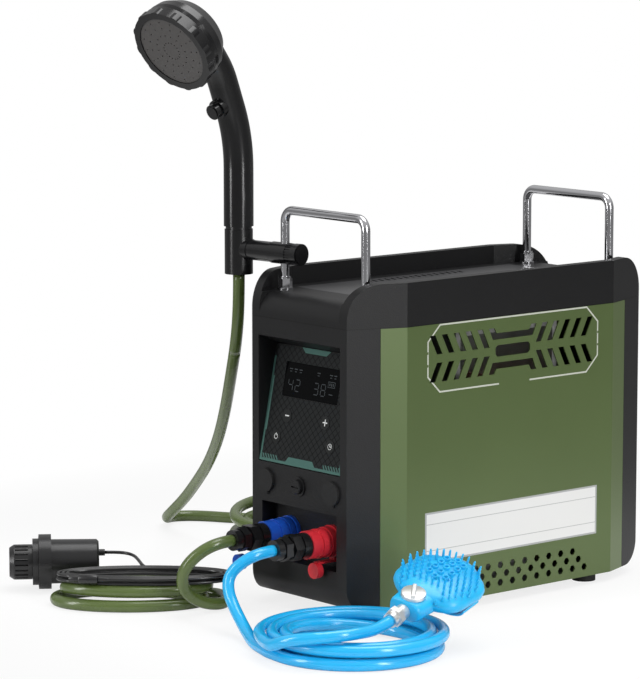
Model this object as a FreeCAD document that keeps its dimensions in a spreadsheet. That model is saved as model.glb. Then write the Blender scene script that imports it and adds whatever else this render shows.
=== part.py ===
import FreeCAD, Part
import Sketcher
import math
import os

# Portable propane water heater with hand shower, lift pump and washing brush.
# Millimetres.  X runs to the right of the control face, Y from that face to the back, Z up.
# The origin is on the ground in the middle of the four feet.

os.makedirs("parts", exist_ok=True)
vec = FreeCAD.Vector
doc = FreeCAD.newDocument("WaterHeater")
sheet = doc.addObject("Spreadsheet::Sheet", "Sizes")
rows = []


class Size:
    """A size that knows its number and the sheet formula that gives it."""

    def __init__(self, number, text):
        self.number = float(number)
        self.text = text

    def __add__(self, other):
        return Size(self.number + num(other), "(%s + %s)" % (self.text, formula(other)))

    def __sub__(self, other):
        return Size(self.number - num(other), "(%s - %s)" % (self.text, formula(other)))

    def __mul__(self, other):
        return Size(self.number * num(other), "(%s * %s)" % (self.text, formula(other)))

    def __truediv__(self, other):
        return Size(self.number / num(other), "(%s / %s)" % (self.text, formula(other)))

    def __radd__(self, other):
        return Size(num(other) + self.number, "(%s + %s)" % (formula(other), self.text))

    def __rsub__(self, other):
        return Size(num(other) - self.number, "(%s - %s)" % (formula(other), self.text))

    def __rmul__(self, other):
        return Size(num(other) * self.number, "(%s * %s)" % (formula(other), self.text))

    def __neg__(self):
        return Size(-self.number, "(0 - %s)" % self.text)


def num(value):
    return value.number if isinstance(value, Size) else float(value)


def formula(value):
    if isinstance(value, Size):
        return value.text
    return repr(float(value)) if value >= 0 else "(0 - %r)" % abs(float(value))


def sine(angle):
    return Size(math.sin(math.radians(num(angle))), "sin(%s)" % formula(angle))


def cosine(angle):
    return Size(math.cos(math.radians(num(angle))), "cos(%s)" % formula(angle))


def root(value):
    return Size(math.sqrt(num(value)), "sqrt(%s)" % formula(value))


def size(alias, value):
    """Writes one row of the sheet: a driving number, or a formula of earlier rows."""
    row = len(rows) + 1
    rows.append(alias)
    cell = "B%d" % row
    sheet.set("A%d" % row, alias)
    sheet.set(cell, "=" + value.text if isinstance(value, Size) else repr(value))
    sheet.setAlias(cell, alias)
    return Size(num(value), "Sizes." + alias)


def bind(thing, prop, value):
    """Sets a property from a size, and keeps it tied to the sheet."""
    if isinstance(value, Size):
        thing.setExpression(prop, value.text)
    elif "." not in prop:
        setattr(thing, prop, value)


def place(thing, at=(0, 0, 0), axis=(0, 0, 1), angle=0):
    """Puts an object at a point, turned about an axis."""
    turn = FreeCAD.Rotation(vec(*axis), num(angle))
    thing.Placement = FreeCAD.Placement(vec(*[num(v) for v in at]), turn)
    for letter, value in zip("xyz", at):
        bind(thing, "Placement.Base." + letter, value)
    bind(thing, "Placement.Rotation.Angle", angle)


def arc_centre(a, b, radius, side):
    """Centre of the minor arc from a to b, on the left (1) or right (-1) of the way."""
    dx, dy = b[0] - a[0], b[1] - a[1]
    half = math.hypot(dx, dy) / 2
    rise = math.sqrt(max(radius * radius - half * half, 0.0))
    mx, my = (a[0] + b[0]) / 2, (a[1] + b[1]) / 2
    return mx - side * dy / (2 * half) * rise, my + side * dx / (2 * half) * rise


class Piece:
    """One body with its own sketches and features, and the node that it becomes."""

    all = []

    def __init__(self, label, at=(0, 0, 0), axis=(0, 0, 1), angle=0):
        self.body = doc.addObject("PartDesign::Body", label)
        self.body.Label = label
        place(self.body, at, axis, angle)
        self.count = 0
        Piece.all.append(self.body)

    def name(self, kind):
        self.count += 1
        return "%s_%s%d" % (self.body.Name, kind, self.count)

    def sketch(self, plane, lift, loops, shift=(0, 0), spin=0, closed=True):
        """Draws loops on a plane: corners (x, y), arcs (x, y, radius, side), ("o", x, y, r)."""
        sk = self.body.newObject("Sketcher::SketchObject", self.name("sketch"))
        role = plane + "_Plane"
        base = [f for f in self.body.Origin.OriginFeatures if f.Role == role][0]
        sk.AttachmentSupport = [(base, "")]
        sk.MapMode = "FlatFace"
        turn = FreeCAD.Rotation(vec(0, 0, 1), num(spin))
        where = vec(num(shift[0]), num(shift[1]), num(lift))
        sk.AttachmentOffset = FreeCAD.Placement(where, turn)
        bind(sk, "AttachmentOffset.Base.x", shift[0])
        bind(sk, "AttachmentOffset.Base.y", shift[1])
        bind(sk, "AttachmentOffset.Base.z", lift)
        bind(sk, "AttachmentOffset.Rotation.Angle", spin)
        limits = []
        ties = []
        for loop in loops:
            if loop[0] == "o":
                self.circle(sk, loop, limits, ties)
            else:
                self.outline(sk, loop, limits, ties, closed)
        sk.addConstraint(limits)
        for place_in_list, value in ties:
            sk.setExpression("Constraints[%d]" % place_in_list, value.text)
        return sk

    def fix(self, limits, ties, geo, pos, x, y):
        """Ties one point of the sketch to its two distances from the origin."""
        for kind, line, value in (("DistanceX", -2, x), ("DistanceY", -1, y)):
            if not isinstance(value, Size) and value == 0:
                limits.append(Sketcher.Constraint("PointOnObject", geo, pos, line))
                continue
            if isinstance(value, Size):
                ties.append((len(limits), value))
            limits.append(Sketcher.Constraint(kind, -1, 1, geo, pos, num(value)))

    def circle(self, sk, loop, limits, ties):
        tag, x, y, radius = loop
        shape = Part.Circle(vec(num(x), num(y), 0), vec(0, 0, 1), num(radius))
        geo = sk.addGeometry(shape, False)
        self.fix(limits, ties, geo, 3, x, y)
        if isinstance(radius, Size):
            ties.append((len(limits), radius))
        limits.append(Sketcher.Constraint("Radius", geo, num(radius)))

    def outline(self, sk, loop, limits, ties, closed):
        total = len(loop)
        runs = total if closed else total - 1
        first = None
        last = None
        for k in range(runs):
            here, there = loop[k], loop[(k + 1) % total]
            a = (num(here[0]), num(here[1]))
            b = (num(there[0]), num(there[1]))
            if len(there) == 2:
                geo = sk.addGeometry(Part.LineSegment(vec(a[0], a[1], 0), vec(b[0], b[1], 0)), False)
                start, end = 1, 2
            else:
                radius, side = there[2], there[3]
                cx, cy = arc_centre(a, b, num(radius), side)
                ring = Part.Circle(vec(cx, cy, 0), vec(0, 0, 1), num(radius))
                turn_a = math.atan2(a[1] - cy, a[0] - cx)
                turn_b = math.atan2(b[1] - cy, b[0] - cx)
                if side < 0:
                    turn_a, turn_b = turn_b, turn_a
                if turn_b < turn_a:
                    turn_b += 2 * math.pi
                geo = sk.addGeometry(Part.ArcOfCircle(ring, turn_a, turn_b), False)
                start, end = (1, 2) if side > 0 else (2, 1)
                if isinstance(radius, Size):
                    ties.append((len(limits), radius))
                limits.append(Sketcher.Constraint("Radius", geo, num(radius)))
            self.fix(limits, ties, geo, start, here[0], here[1])
            if last is None:
                first = (geo, start)
            else:
                limits.append(Sketcher.Constraint("Coincident", last[0], last[1], geo, start))
            last = (geo, end)
        if closed:
            limits.append(Sketcher.Constraint("Coincident", last[0], last[1], first[0], first[1]))
        else:
            self.fix(limits, ties, last[0], last[1], loop[-1][0], loop[-1][1])

    def feature(self, kind, sk, **values):
        thing = self.body.newObject("PartDesign::" + kind, self.name(kind.lower()))
        thing.Profile = sk
        for prop, value in values.items():
            bind(thing, prop, value)
        self.body.Tip = thing
        return thing

    def add(self, plane, lift, loops, height, **more):
        """Adds material from the plane's lift along its normal."""
        return self.feature("Pad", self.sketch(plane, lift, loops, **more), Length=height)

    def cut(self, plane, lift, loops, depth, **more):
        """Takes material away from the plane's lift along its normal."""
        sk = self.sketch(plane, lift, loops, **more)
        return self.feature("Pocket", sk, Length=depth, Reversed=True)

    def turn(self, loops, plane="XZ", kind="Revolution", **more):
        """Turns a half section about the upright axis of its sketch."""
        sk = self.sketch(plane, 0, loops, **more)
        thing = self.feature(kind, sk, Angle=360)
        thing.ReferenceAxis = (sk, ["V_Axis"])
        return thing

    def pipe(self, plane, route, radius, foot_plane, foot, lift=0):
        """Sweeps a circle along a route drawn on a plane."""
        spine = self.sketch(plane, lift, [route], closed=False)
        profile = self.sketch(foot_plane, foot[2], [("o", foot[0], foot[1], radius)])
        thing = self.feature("AdditivePipe", profile)
        edges = ["Edge%d" % (k + 1) for k in range(len(route) - 1)]
        thing.Spine = (spine, edges)
        return thing

    def row(self, thing, axis, step, times):
        """Repeats a feature along an axis of its own sketch."""
        pattern = self.body.newObject("PartDesign::LinearPattern", self.name("row"))
        pattern.Originals = [thing]
        pattern.Direction = (thing.Profile[0], [axis])
        pattern.Occurrences = times
        if hasattr(pattern, "Mode"):
            pattern.Mode = "Spacing"
            bind(pattern, "Offset", step)
        else:
            bind(pattern, "Length", step * (times - 1))
        self.body.Tip = pattern
        return pattern

    def ring(self, thing, times, plane_role="Z_Axis"):
        """Repeats a feature all round an axis of the body."""
        pattern = self.body.newObject("PartDesign::PolarPattern", self.name("ring"))
        pattern.Originals = [thing]
        axis = [f for f in self.body.Origin.OriginFeatures if f.Role == plane_role][0]
        pattern.Axis = (axis, [""])
        pattern.Angle = 360
        pattern.Occurrences = times
        self.body.Tip = pattern
        return pattern


def box(x0, x1, y0, y1):
    return [(x0, y0), (x1, y0), (x1, y1), (x0, y1)]


def hexagon(x, y, across, turn=0):
    corners = []
    for k in range(6):
        angle = math.radians(60 * k + turn)
        reach = across / math.sqrt(3)
        corners.append((x + reach * round(math.cos(angle), 6), y + reach * round(math.sin(angle), 6)))
    return corners


# Driving sizes of the cabinet
body_length = size("body_length", 380.0)
face_width = size("face_width", 137.0)
body_width = size("body_width", 178.0)
taper = size("taper", 56.0)
cap_reach = size("cap_reach", 31.0)
foot_height = size("foot_height", 9.0)
panel_height = size("panel_height", 266.0)
band_height = size("band_height", 41.5)
tray_depth = size("tray_depth", 18.0)
rail_width = size("rail_width", 10.0)
nose_radius = size("nose_radius", 23.0)
brow_radius = size("brow_radius", 33.0)
wall = size("wall", 2.5)
sheet_metal = size("sheet_metal", 1.2)
seam_gap = size("seam_gap", 0.3)
fit_gap = size("fit_gap", 0.05)

end = body_length / 2
half_face = face_width / 2
half_body = body_width / 2
ground = foot_height
seam = size("seam", foot_height + panel_height)
brow_top = size("brow_top", seam + band_height)
tray = size("tray", brow_top - tray_depth)
flare = size("flare", (half_body - half_face) / taper)
lean = size("lean", root(1.0 + flare * flare))
across = body_width + 20.0

# Control face: display plate, sockets and the bay of the two hose couplings
display_half = size("display_half", 59.0)
display_foot = size("display_foot", 137.6)
display_tilt = size("display_tilt", 11.3)
display_length = size("display_length", 112.6)
plate_depth = size("plate_depth", 2.2)
display_depth = size("display_depth", display_length * sine(display_tilt))
display_rise = size("display_rise", display_length * cosine(display_tilt))
key_radius = size("key_radius", 6.2)
window_half = size("window_half", 40.0)
window_foot = size("window_foot", 64.0)
window_height = size("window_height", 33.0)
bay_half = size("bay_half", 54.0)
bay_foot = size("bay_foot", 47.0)
bay_height = size("bay_height", 53.0)
bay_depth = size("bay_depth", 16.0)
coupling_x = size("coupling_x", 30.5)
coupling_z = size("coupling_z", 71.5)
socket_x = size("socket_x", 47.5)
socket_z = size("socket_z", 120.3)
socket_radius = size("socket_radius", 10.0)
fuse_radius = size("fuse_radius", 8.0)
nipple_radius = size("nipple_radius", 7.0)
inlet_z = size("inlet_z", 70.0)
inlet_radius = size("inlet_radius", 9.0)
post_x = size("post_x", 58.0)
post_y = size("post_y", 158.0)
rod_radius = size("rod_radius", 4.25)
handle_top = size("handle_top", 374.0)
handle_bend = size("handle_bend", 11.0)
foot_x = size("foot_x", 68.0)
foot_y = size("foot_y", 118.5)
foot_radius = size("foot_radius", 11.5)


def flank(reach, inset=0.0):
    """Half width of the cabinet at a reach from its end, less an inset square to the wall."""
    return half_face + flare * reach - inset * lean


def shoulder(inset=0.0):
    """Reach from the end at which the tapered flank meets the straight side."""
    return taper + inset * (lean - 1.0) / flare


def whole_plan(inset, tip):
    """Plan of the cabinet, drawn in by an inset and stopping a tip short of each end."""
    wide = flank(tip, inset)
    side = half_body - inset
    turn = end - shoulder(inset)
    stop = end - tip
    right = [(wide, -stop), (side, -turn), (side, turn), (wide, stop)]
    return right + [(-x, y) for x, y in reversed(right)]


# Front and rear caps: moulded black shells that carry the curved lower edge
def cap_shell(label, angle):
    """A cap open towards the middle and the top, built facing the front."""
    cap = Piece(label, (0, 0, 0), (0, 0, 1), angle)
    front = -end
    back = -end + cap_reach
    cap.add("XY", ground, [[(-half_face, front), (half_face, front),
                            (flank(cap_reach), back), (-flank(cap_reach), back)]], panel_height)
    inside = -end + wall
    deep = -end + cap_reach + 1.0
    near = flank(wall, wall)
    far = flank(cap_reach + 1.0, wall)
    cap.cut("XY", ground + nose_radius,
            [[(-near, inside), (near, inside), (far, deep), (-far, deep)]], panel_height)
    cap.cut("YZ", -across, [[(front - 1.0, ground - 1.0), (front + nose_radius, ground - 1.0),
                             (front + nose_radius, ground), (front, ground + nose_radius, nose_radius, -1),
                             (front - 1.0, ground + nose_radius)]], across * 2)
    room = half_face - wall * 2
    cap.cut("YZ", -room, [[(inside, ground + nose_radius + 1.0), (inside, ground + nose_radius),
                           (front + nose_radius, ground + wall, nose_radius - wall, 1),
                           (deep, ground + wall), (deep, ground + nose_radius + 1.0)]], room * 2)
    return cap


def make_front_cap():
    cap = cap_shell("front_cap", 0)
    front = -end
    skin = front + wall / 2
    over = wall * 2
    top = display_foot + display_rise
    lip = top + 10.0
    sides = display_half + wall
    cap.add("YZ", -sides, [[(skin, display_foot - over), (front + plate_depth + wall, display_foot - over),
                            (front + display_depth + over, top), (front + display_depth + over, lip + over),
                            (skin, lip + over)]], sides * 2)
    cap.cut("YZ", -display_half, [[(front - 1.0, display_foot), (front + plate_depth, display_foot),
                                   (front + plate_depth + display_depth, top), (front, lip),
                                   (front - 1.0, lip)]], display_half * 2)
    cap.cut("XZ", end - display_depth - over - 5.0,
            [box(-window_half - 8.0, window_half + 8.0, display_foot + 12.0, top - 12.0)],
            display_depth + over)
    bay_top = bay_foot + bay_height
    sides = bay_half + wall
    cap.add("XZ", end - bay_depth - wall, [box(-sides, sides, bay_foot - wall, bay_top + wall)],
            bay_depth + wall / 2)
    cap.cut("XZ", end - bay_depth, [box(-bay_half, bay_half, bay_foot, bay_top)], bay_depth + 1.0)
    cap.cut("XZ", end - bay_depth - wall - 1.0,
            [("o", x, coupling_z, nipple_radius + fit_gap) for x in (-coupling_x, coupling_x)], bay_depth)
    cap.cut("XZ", end - wall - 1.0, [("o", -socket_x, socket_z, socket_radius),
                                     ("o", socket_x, socket_z, socket_radius),
                                     ("o", 0, socket_z, fuse_radius)], wall + 2.0)


def make_rear_cap():
    cap = cap_shell("rear_cap", 180)
    cap.cut("XZ", end - wall - 1.0, [("o", 0, inlet_z, inlet_radius)], wall + 2.0)


# Top cover: black moulding with two raised side rails around a sunken tray
plate_half_x = size("plate_half_x", 64.0)
plate_half_y = size("plate_half_y", 139.0)
plate_thick = size("plate_thick", 2.0)
tray_floor = size("tray_floor", 3.0)
lip_radius = size("lip_radius", 20.0)


def make_top_cover():
    cover = Piece("top_cover")
    cover.add("XY", seam, [whole_plan(0.0, 0.0)], band_height)
    inner = half_body - rail_width
    turn = end - shoulder(rail_width)
    tip = flank(-1.0, rail_width)
    right = [(tip, -end - 1.0), (inner, -turn), (inner, turn), (tip, end + 1.0)]
    cover.cut("XY", tray, [right + [(-x, y) for x, y in reversed(right)]], tray_depth + 1.0)
    for way in (-1, 1):
        cover.cut("YZ", -across, [[(way * (end + 1.0), brow_top + 1.0),
                                   (way * (end + 1.0), brow_top - brow_radius),
                                   (way * end, brow_top - brow_radius),
                                   (way * (end - brow_radius), brow_top, brow_radius, way),
                                   (way * (end - brow_radius), brow_top + 1.0)]], across * 2)
        cover.cut("YZ", -tip, [[(way * (end + 1.0), tray + 1.0), (way * (end + 1.0), tray - lip_radius),
                                (way * end, tray - lip_radius),
                                (way * (end - lip_radius), tray, lip_radius, way),
                                (way * (end - lip_radius), tray + 1.0)]], tip * 2)
    cover.cut("XY", seam - 1.0, [whole_plan(6.0, 26.0)], tray - tray_floor - seam + 1.0)
    rim = 5.0
    cover.cut("XY", seam, [box(-plate_half_x + rim, plate_half_x - rim,
                               -plate_half_y + rim, plate_half_y - rim)], band_height)
    cover.cut("XY", tray - plate_thick, [box(-plate_half_x, plate_half_x, -plate_half_y, plate_half_y)],
              plate_thick + 1.0)
    cover.cut("XY", seam, [("o", x, y, rod_radius + fit_gap)
                           for x in (-post_x, post_x) for y in (-post_y, post_y)], band_height)


slot_pitch = size("slot_pitch", 8.0)
slot_count = 16


def make_top_plate():
    plate = Piece("top_plate", (0, 0, tray - plate_thick))
    x = plate_half_x - 0.2
    y = plate_half_y - 0.2
    plate.add("XY", 0, [box(-x, x, -y, y)], plate_thick)
    for side in (-1, 1):
        near = side * 44.0
        first = -slot_pitch * 8
        slot = plate.cut("XY", -1, [[(near, first), (near + side * 13.0, first + 4.0),
                                     (near + side * 13.0, first + 7.5), (near, first + 3.5)]],
                         plate_thick + 2.0)
        plate.row(slot, "V_Axis", slot_pitch, slot_count)


# Side panels: green powder-coated sheet, bent round the tapered corners, with punched vents
vent_z = size("vent_z", 242.5)
vent_half_y = size("vent_half_y", 98.0)
vent_half_z = size("vent_half_z", 24.0)
slat_pitch = size("slat_pitch", 15.0)
hole_across = size("hole_across", 6.4)
hole_pitch = size("hole_pitch", 16.0)
hole_rows = 3
holes_in_row = 12


def vent_slots():
    """Chevron slots, two long brackets, a middle slot and two end windows, in Y and Z."""
    slots = []
    for way in (-1, 1):
        for rise in (-1, 1):
            for k in range(5):
                low = 30.0 + k * slat_pitch
                high = low + 9.0
                z0 = vent_z + rise * 4.0
                z1 = vent_z + rise * (vent_half_z - 2.0)
                slots.append([(way * low, z0), (way * (low + 7.0), z0),
                              (way * (high + 7.0), z1), (way * high, z1)])
    for rise in (-1, 1):
        z0 = vent_z + rise * 11.0
        z1 = vent_z + rise * 17.0
        slots.append([(-26.0, z0), (26.0, z0), (31.0, z1 + rise * 5.0), (24.0, z1 + rise * 5.0),
                      (21.0, z1), (-21.0, z1), (-24.0, z1 + rise * 5.0), (-31.0, z1 + rise * 5.0)])
    slots.append([(-20.0, vent_z - 5.5), (20.0, vent_z - 5.5), (22.5, vent_z - 3.0), (22.5, vent_z + 3.0),
                  (20.0, vent_z + 5.5), (-20.0, vent_z + 5.5), (-22.5, vent_z + 3.0),
                  (-22.5, vent_z - 3.0)])
    return slots


def make_side_panel(label, side):
    panel = Piece(label)
    reach = cap_reach + seam_gap
    stop = end - reach
    turn = end - taper
    thin = end - shoulder(sheet_metal)
    flat = half_body - sheet_metal
    outer = [(flank(reach), -stop), (half_body, -turn), (half_body, turn), (flank(reach), stop)]
    inner = [(flank(reach, sheet_metal), stop), (flat, thin), (flat, -thin),
             (flank(reach, sheet_metal), -stop)]
    panel.add("XY", ground, [[(side * x, y) for x, y in outer + inner]], panel_height)
    start = half_body - sheet_metal * 2 if side > 0 else -half_body - sheet_metal
    panel.cut("YZ", start, vent_slots(), sheet_metal * 3)
    for row in range(hole_rows):
        y = -70.0 + row * hole_pitch / 2 - holes_in_row * 2.0
        z = ground + 27.0 - row * 8.5
        hole = panel.cut("YZ", start, [hexagon(y, z, 6.4)], sheet_metal * 3)
        panel.row(hole, "H_Axis", hole_pitch, holes_in_row)


# Base plate: steel sheet between the caps and side panels, with the feet screwed under it
base_thick = size("base_thick", 2.0)
screw_radius = size("screw_radius", 2.0)


def make_base_plate():
    base = Piece("base_plate", (0, 0, ground))
    base.add("XY", 0, [whole_plan(sheet_metal + 0.2, cap_reach + seam_gap)], base_thick)
    base.cut("XY", -1, [("o", x, y, screw_radius + fit_gap)
                        for x in (-foot_x, foot_x) for y in (-foot_y, foot_y)], base_thick + 2.0)
    vent = base.cut("XY", -1, [box(-30.0, 30.0, -52.0, -48.0)], base_thick + 2.0)
    base.row(vent, "V_Axis", 12.0, 9)


def make_feet():
    feet = Piece("feet")
    spots = [(x, y) for x in (-foot_x, foot_x) for y in (-foot_y, foot_y)]
    feet.add("XY", 0, [("o", x, y, foot_radius) for x, y in spots], foot_height)
    feet.add("XY", foot_height - 0.1, [("o", x, y, screw_radius) for x, y in spots], base_thick + 3.0)


# Carrying handles: chromed rod bent into two bows, held in the tray by chromed collars
def make_handle(label, y):
    handle = Piece(label, (0, y, 0))
    foot = tray - tray_floor - 6.0
    bend = handle_bend
    handle.pipe("XZ", [(-post_x, foot), (-post_x, handle_top - bend),
                       (-post_x + bend, handle_top, bend, -1), (post_x - bend, handle_top),
                       (post_x, handle_top - bend, bend, -1), (post_x, foot)],
                rod_radius, "XY", (-post_x, 0, foot))


collar_height = size("collar_height", 12.5)


def make_handle_collars():
    collars = Piece("handle_collars", (0, 0, tray))
    spots = [(x, y) for x in (-post_x, post_x) for y in (-post_y, post_y)]
    collars.add("XY", 0, [("o", x, y, 7.5) for x, y in spots], 2.0)
    collars.add("XY", 1.5, [hexagon(x, y, 12.0) for x, y in spots], collar_height - 3.5)
    collars.add("XY", collar_height - 2.5, [("o", x, y, 5.8) for x, y in spots], 2.5)
    collars.cut("XY", -1, [("o", x, y, rod_radius + fit_gap) for x, y in spots], collar_height + 2.0)


make_front_cap()
make_rear_cap()
make_top_cover()
make_top_plate()
make_side_panel("right_panel", 1)
make_side_panel("left_panel", -1)
make_base_plate()
make_feet()
make_handle("front_handle", -post_y)
make_handle("rear_handle", post_y)
make_handle_collars()


# Display group, built upright and tilted back as one: Z runs up the slope, -Y out of it
slope_y = size("slope_y", plate_depth - end)


def on_slope(x, out, up):
    """A point of the sloped control face, as a place on the cabinet."""
    y = slope_y - cosine(display_tilt) * out + sine(display_tilt) * up
    z = display_foot + sine(display_tilt) * out + cosine(display_tilt) * up
    return (x, y, z)


def sloped(label, x=0, out=0, up=0):
    return Piece(label, on_slope(x, out, up), (-1, 0, 0), display_tilt)


key_places = {"key_minus": (-27.5, 46.0), "key_plus": (27.5, 46.0),
              "key_power": (-39.0, 25.0), "key_timer": (39.0, 25.0)}
print_thick = size("print_thick", 2.0)
key_travel = size("key_travel", 0.8)
key_gap = size("key_gap", 0.15)


def make_control_plate():
    plate = sloped("control_plate")
    side = display_half - 0.3
    plate.add("XZ", 0, [box(-side, side, 0.6, display_length - 0.6)], print_thick)
    plate.cut("XZ", -1, [("o", x, z, key_radius + key_gap) for x, z in key_places.values()], 5)
    plate.cut("XZ", -1, [box(-window_half, window_half, window_foot, window_foot + window_height)], 5)


def make_display_lens():
    lens = sloped("display_lens")
    side = window_half - 0.1
    lens.add("XZ", 0, [box(-side, side, window_foot + 0.1, window_foot + window_height - 0.1)], 1.8)


def make_key(label, x, up):
    key = sloped(label, x, 0, up)
    key.add("XZ", -1.0, [("o", 0, 0, key_radius)], print_thick + 1.5)
    key.add("XZ", -3.2, [("o", 0, 0, key_radius - 3.0)], 2.5)


def make_control_board():
    board = sloped("control_board")
    side = window_half + 6.0
    board.add("XZ", -6.6, [box(-side, side, 14.0, display_length - 14.0)], 1.6)
    board.add("XZ", -5.1, [box(-window_half + 2.0, window_half - 2.0, window_foot + 2.0,
                               window_foot + window_height - 2.0)], 5.0)
    board.add("XZ", -5.1, [("o", x, z, 3.0) for x, z in key_places.values()], 1.0)
    board.add("XZ", -16.0, [box(-30.0, 30.0, 30.0, 60.0)], 9.5)
    board.add("XZ", -5.1, [box(-side, -side + 4.0, 14.0, 20.0), box(side - 4.0, side, 14.0, 20.0)], 2.4)


# Sockets and fuse on the control face: turned plastic parts clipped through the wall
def facing(label, x, z, reach=0.0):
    """A piece whose own Z points out of the control face."""
    return Piece(label, (x, -end + reach, z), (1, 0, 0), 90)


def make_panel_sockets():
    sockets = facing("panel_sockets", 0, socket_z)
    for x in (-socket_x, socket_x):
        sockets.add("XY", -22.0, [("o", x, 0, socket_radius - 0.2)], 22.0 - 0.2)
        sockets.cut("XY", -14.0, [("o", x, 0, 6.5)], 14.0)
        sockets.add("XY", -14.5, [("o", x, 0, 2.0)], 9.0)


def make_socket_cover(label, x):
    cover = facing(label, x, socket_z)
    cover.add("XY", 0.1, [("o", 0, 0, socket_radius + 1.2)], 2.6)
    cover.add("XY", -2.4, [("o", 0, 0, 6.2)], 2.6)
    cover.add("XY", 0.1, [box(-3.5, 3.5, -socket_radius - 3.2, -socket_radius)], 1.8)


def make_fuse_holder():
    holder = facing("fuse_holder", 0, socket_z)
    holder.turn([[(5.2, -26.0), (fuse_radius - 0.2, -26.0), (fuse_radius - 0.2, 0.05),
                  (fuse_radius + 1.4, 0.05), (fuse_radius + 1.4, 1.6), (5.2, 1.6)]])


def make_fuse_cap():
    cap = facing("fuse_cap", 0, socket_z)
    cap.turn([[(0, -20.0), (3.0, -20.0), (3.0, -12.0), (5.14, -12.0), (5.14, 1.9), (6.8, 1.9),
               (6.8, 4.4), (6.0, 5.2), (0, 5.2)]])
    cap.cut("XY", 3.8, [box(-5.0, 5.0, -0.8, 0.8)], 3.0)


# Hose couplings: nipples of the heater, ribbed rubber collars with their dust caps, and the
# black couplings on the hose ends
bay_face = size("bay_face", bay_depth - end)
collar_bore = size("collar_bore", 9.9)
coupling_end = size("coupling_end", 72.0)


def in_bay(label, x):
    return Piece(label, (x, bay_face, coupling_z), (1, 0, 0), 90)


def make_nipples():
    nipples = in_bay("water_nipples", 0)
    for x in (-coupling_x, coupling_x):
        nipples.add("XY", -20.0, [("o", x, 0, nipple_radius)], 50.0)
        nipples.add("XY", -wall - 3.0, [("o", x, 0, nipple_radius + 3.0)], 3.0)
        nipples.cut("XY", -21.0, [("o", x, 0, 4.5)], 52.0)


def make_dust_collar(label, x, side, reach, drop):
    """Rubber collar with ribs, a flat strap under it and the cap that hangs from the strap."""
    collar = in_bay(label, x)
    bore = nipple_radius + 0.3
    collar.turn([[(bore, 0.2), (15.2, 0.2), (15.2, 4.0), (12.6, 4.0), (12.6, 6.0), (14.4, 6.0),
                  (14.4, 11.5), (12.4, 11.5), (12.4, 14.0), (13.9, 14.0), (13.9, 21.5), (12.2, 21.5),
                  (12.2, 25.5), (13.4, 25.5), (13.4, 34.0), (collar_bore, 34.0), (collar_bore, 9.0),
                  (bore, 9.0)]])
    collar.add("XY", 0.2, [box(side * 2.0 - 3.5, side * 2.0 + 3.5, -19.0, -12.0)], 3.0)
    collar.add("XY", 0.2, [box(side * 2.0 - 3.5, side * 2.0 + 3.5, -19.0, -17.0)], reach)
    collar.add("XY", reach - 2.5, [("o", side * 2.0, -19.0 - drop, 7.5)], 6.5)
    collar.add("XY", reach - 2.5, [box(side * 2.0 - 3.5, side * 2.0 + 3.5, -20.0 - drop, -17.0)], 2.7)


def make_coupling(label, x):
    """Quick coupling with a sleeve over the nipple, two hexagons and an end nut."""
    coupling = in_bay(label, x)
    coupling.turn([[(nipple_radius + fit_gap, 10.0), (collar_bore - 0.2, 10.0), (collar_bore - 0.2, 34.3),
                    (12.2, 34.3), (12.2, 43.0), (10.6, 43.0), (10.6, 44.5), (9.0, 44.5),
                    (9.0, coupling_end), (0, coupling_end), (0, 33.0), (nipple_radius + fit_gap, 33.0)]])
    coupling.add("XY", 44.5, [hexagon(0, 0, 23.0)], 10.0)
    coupling.add("XY", 56.0, [hexagon(0, 0, 20.5, 30)], 8.0)
    coupling.add("XY", 65.0, [("o", 0, 0, 9.8)], coupling_end - 65.0)


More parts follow.
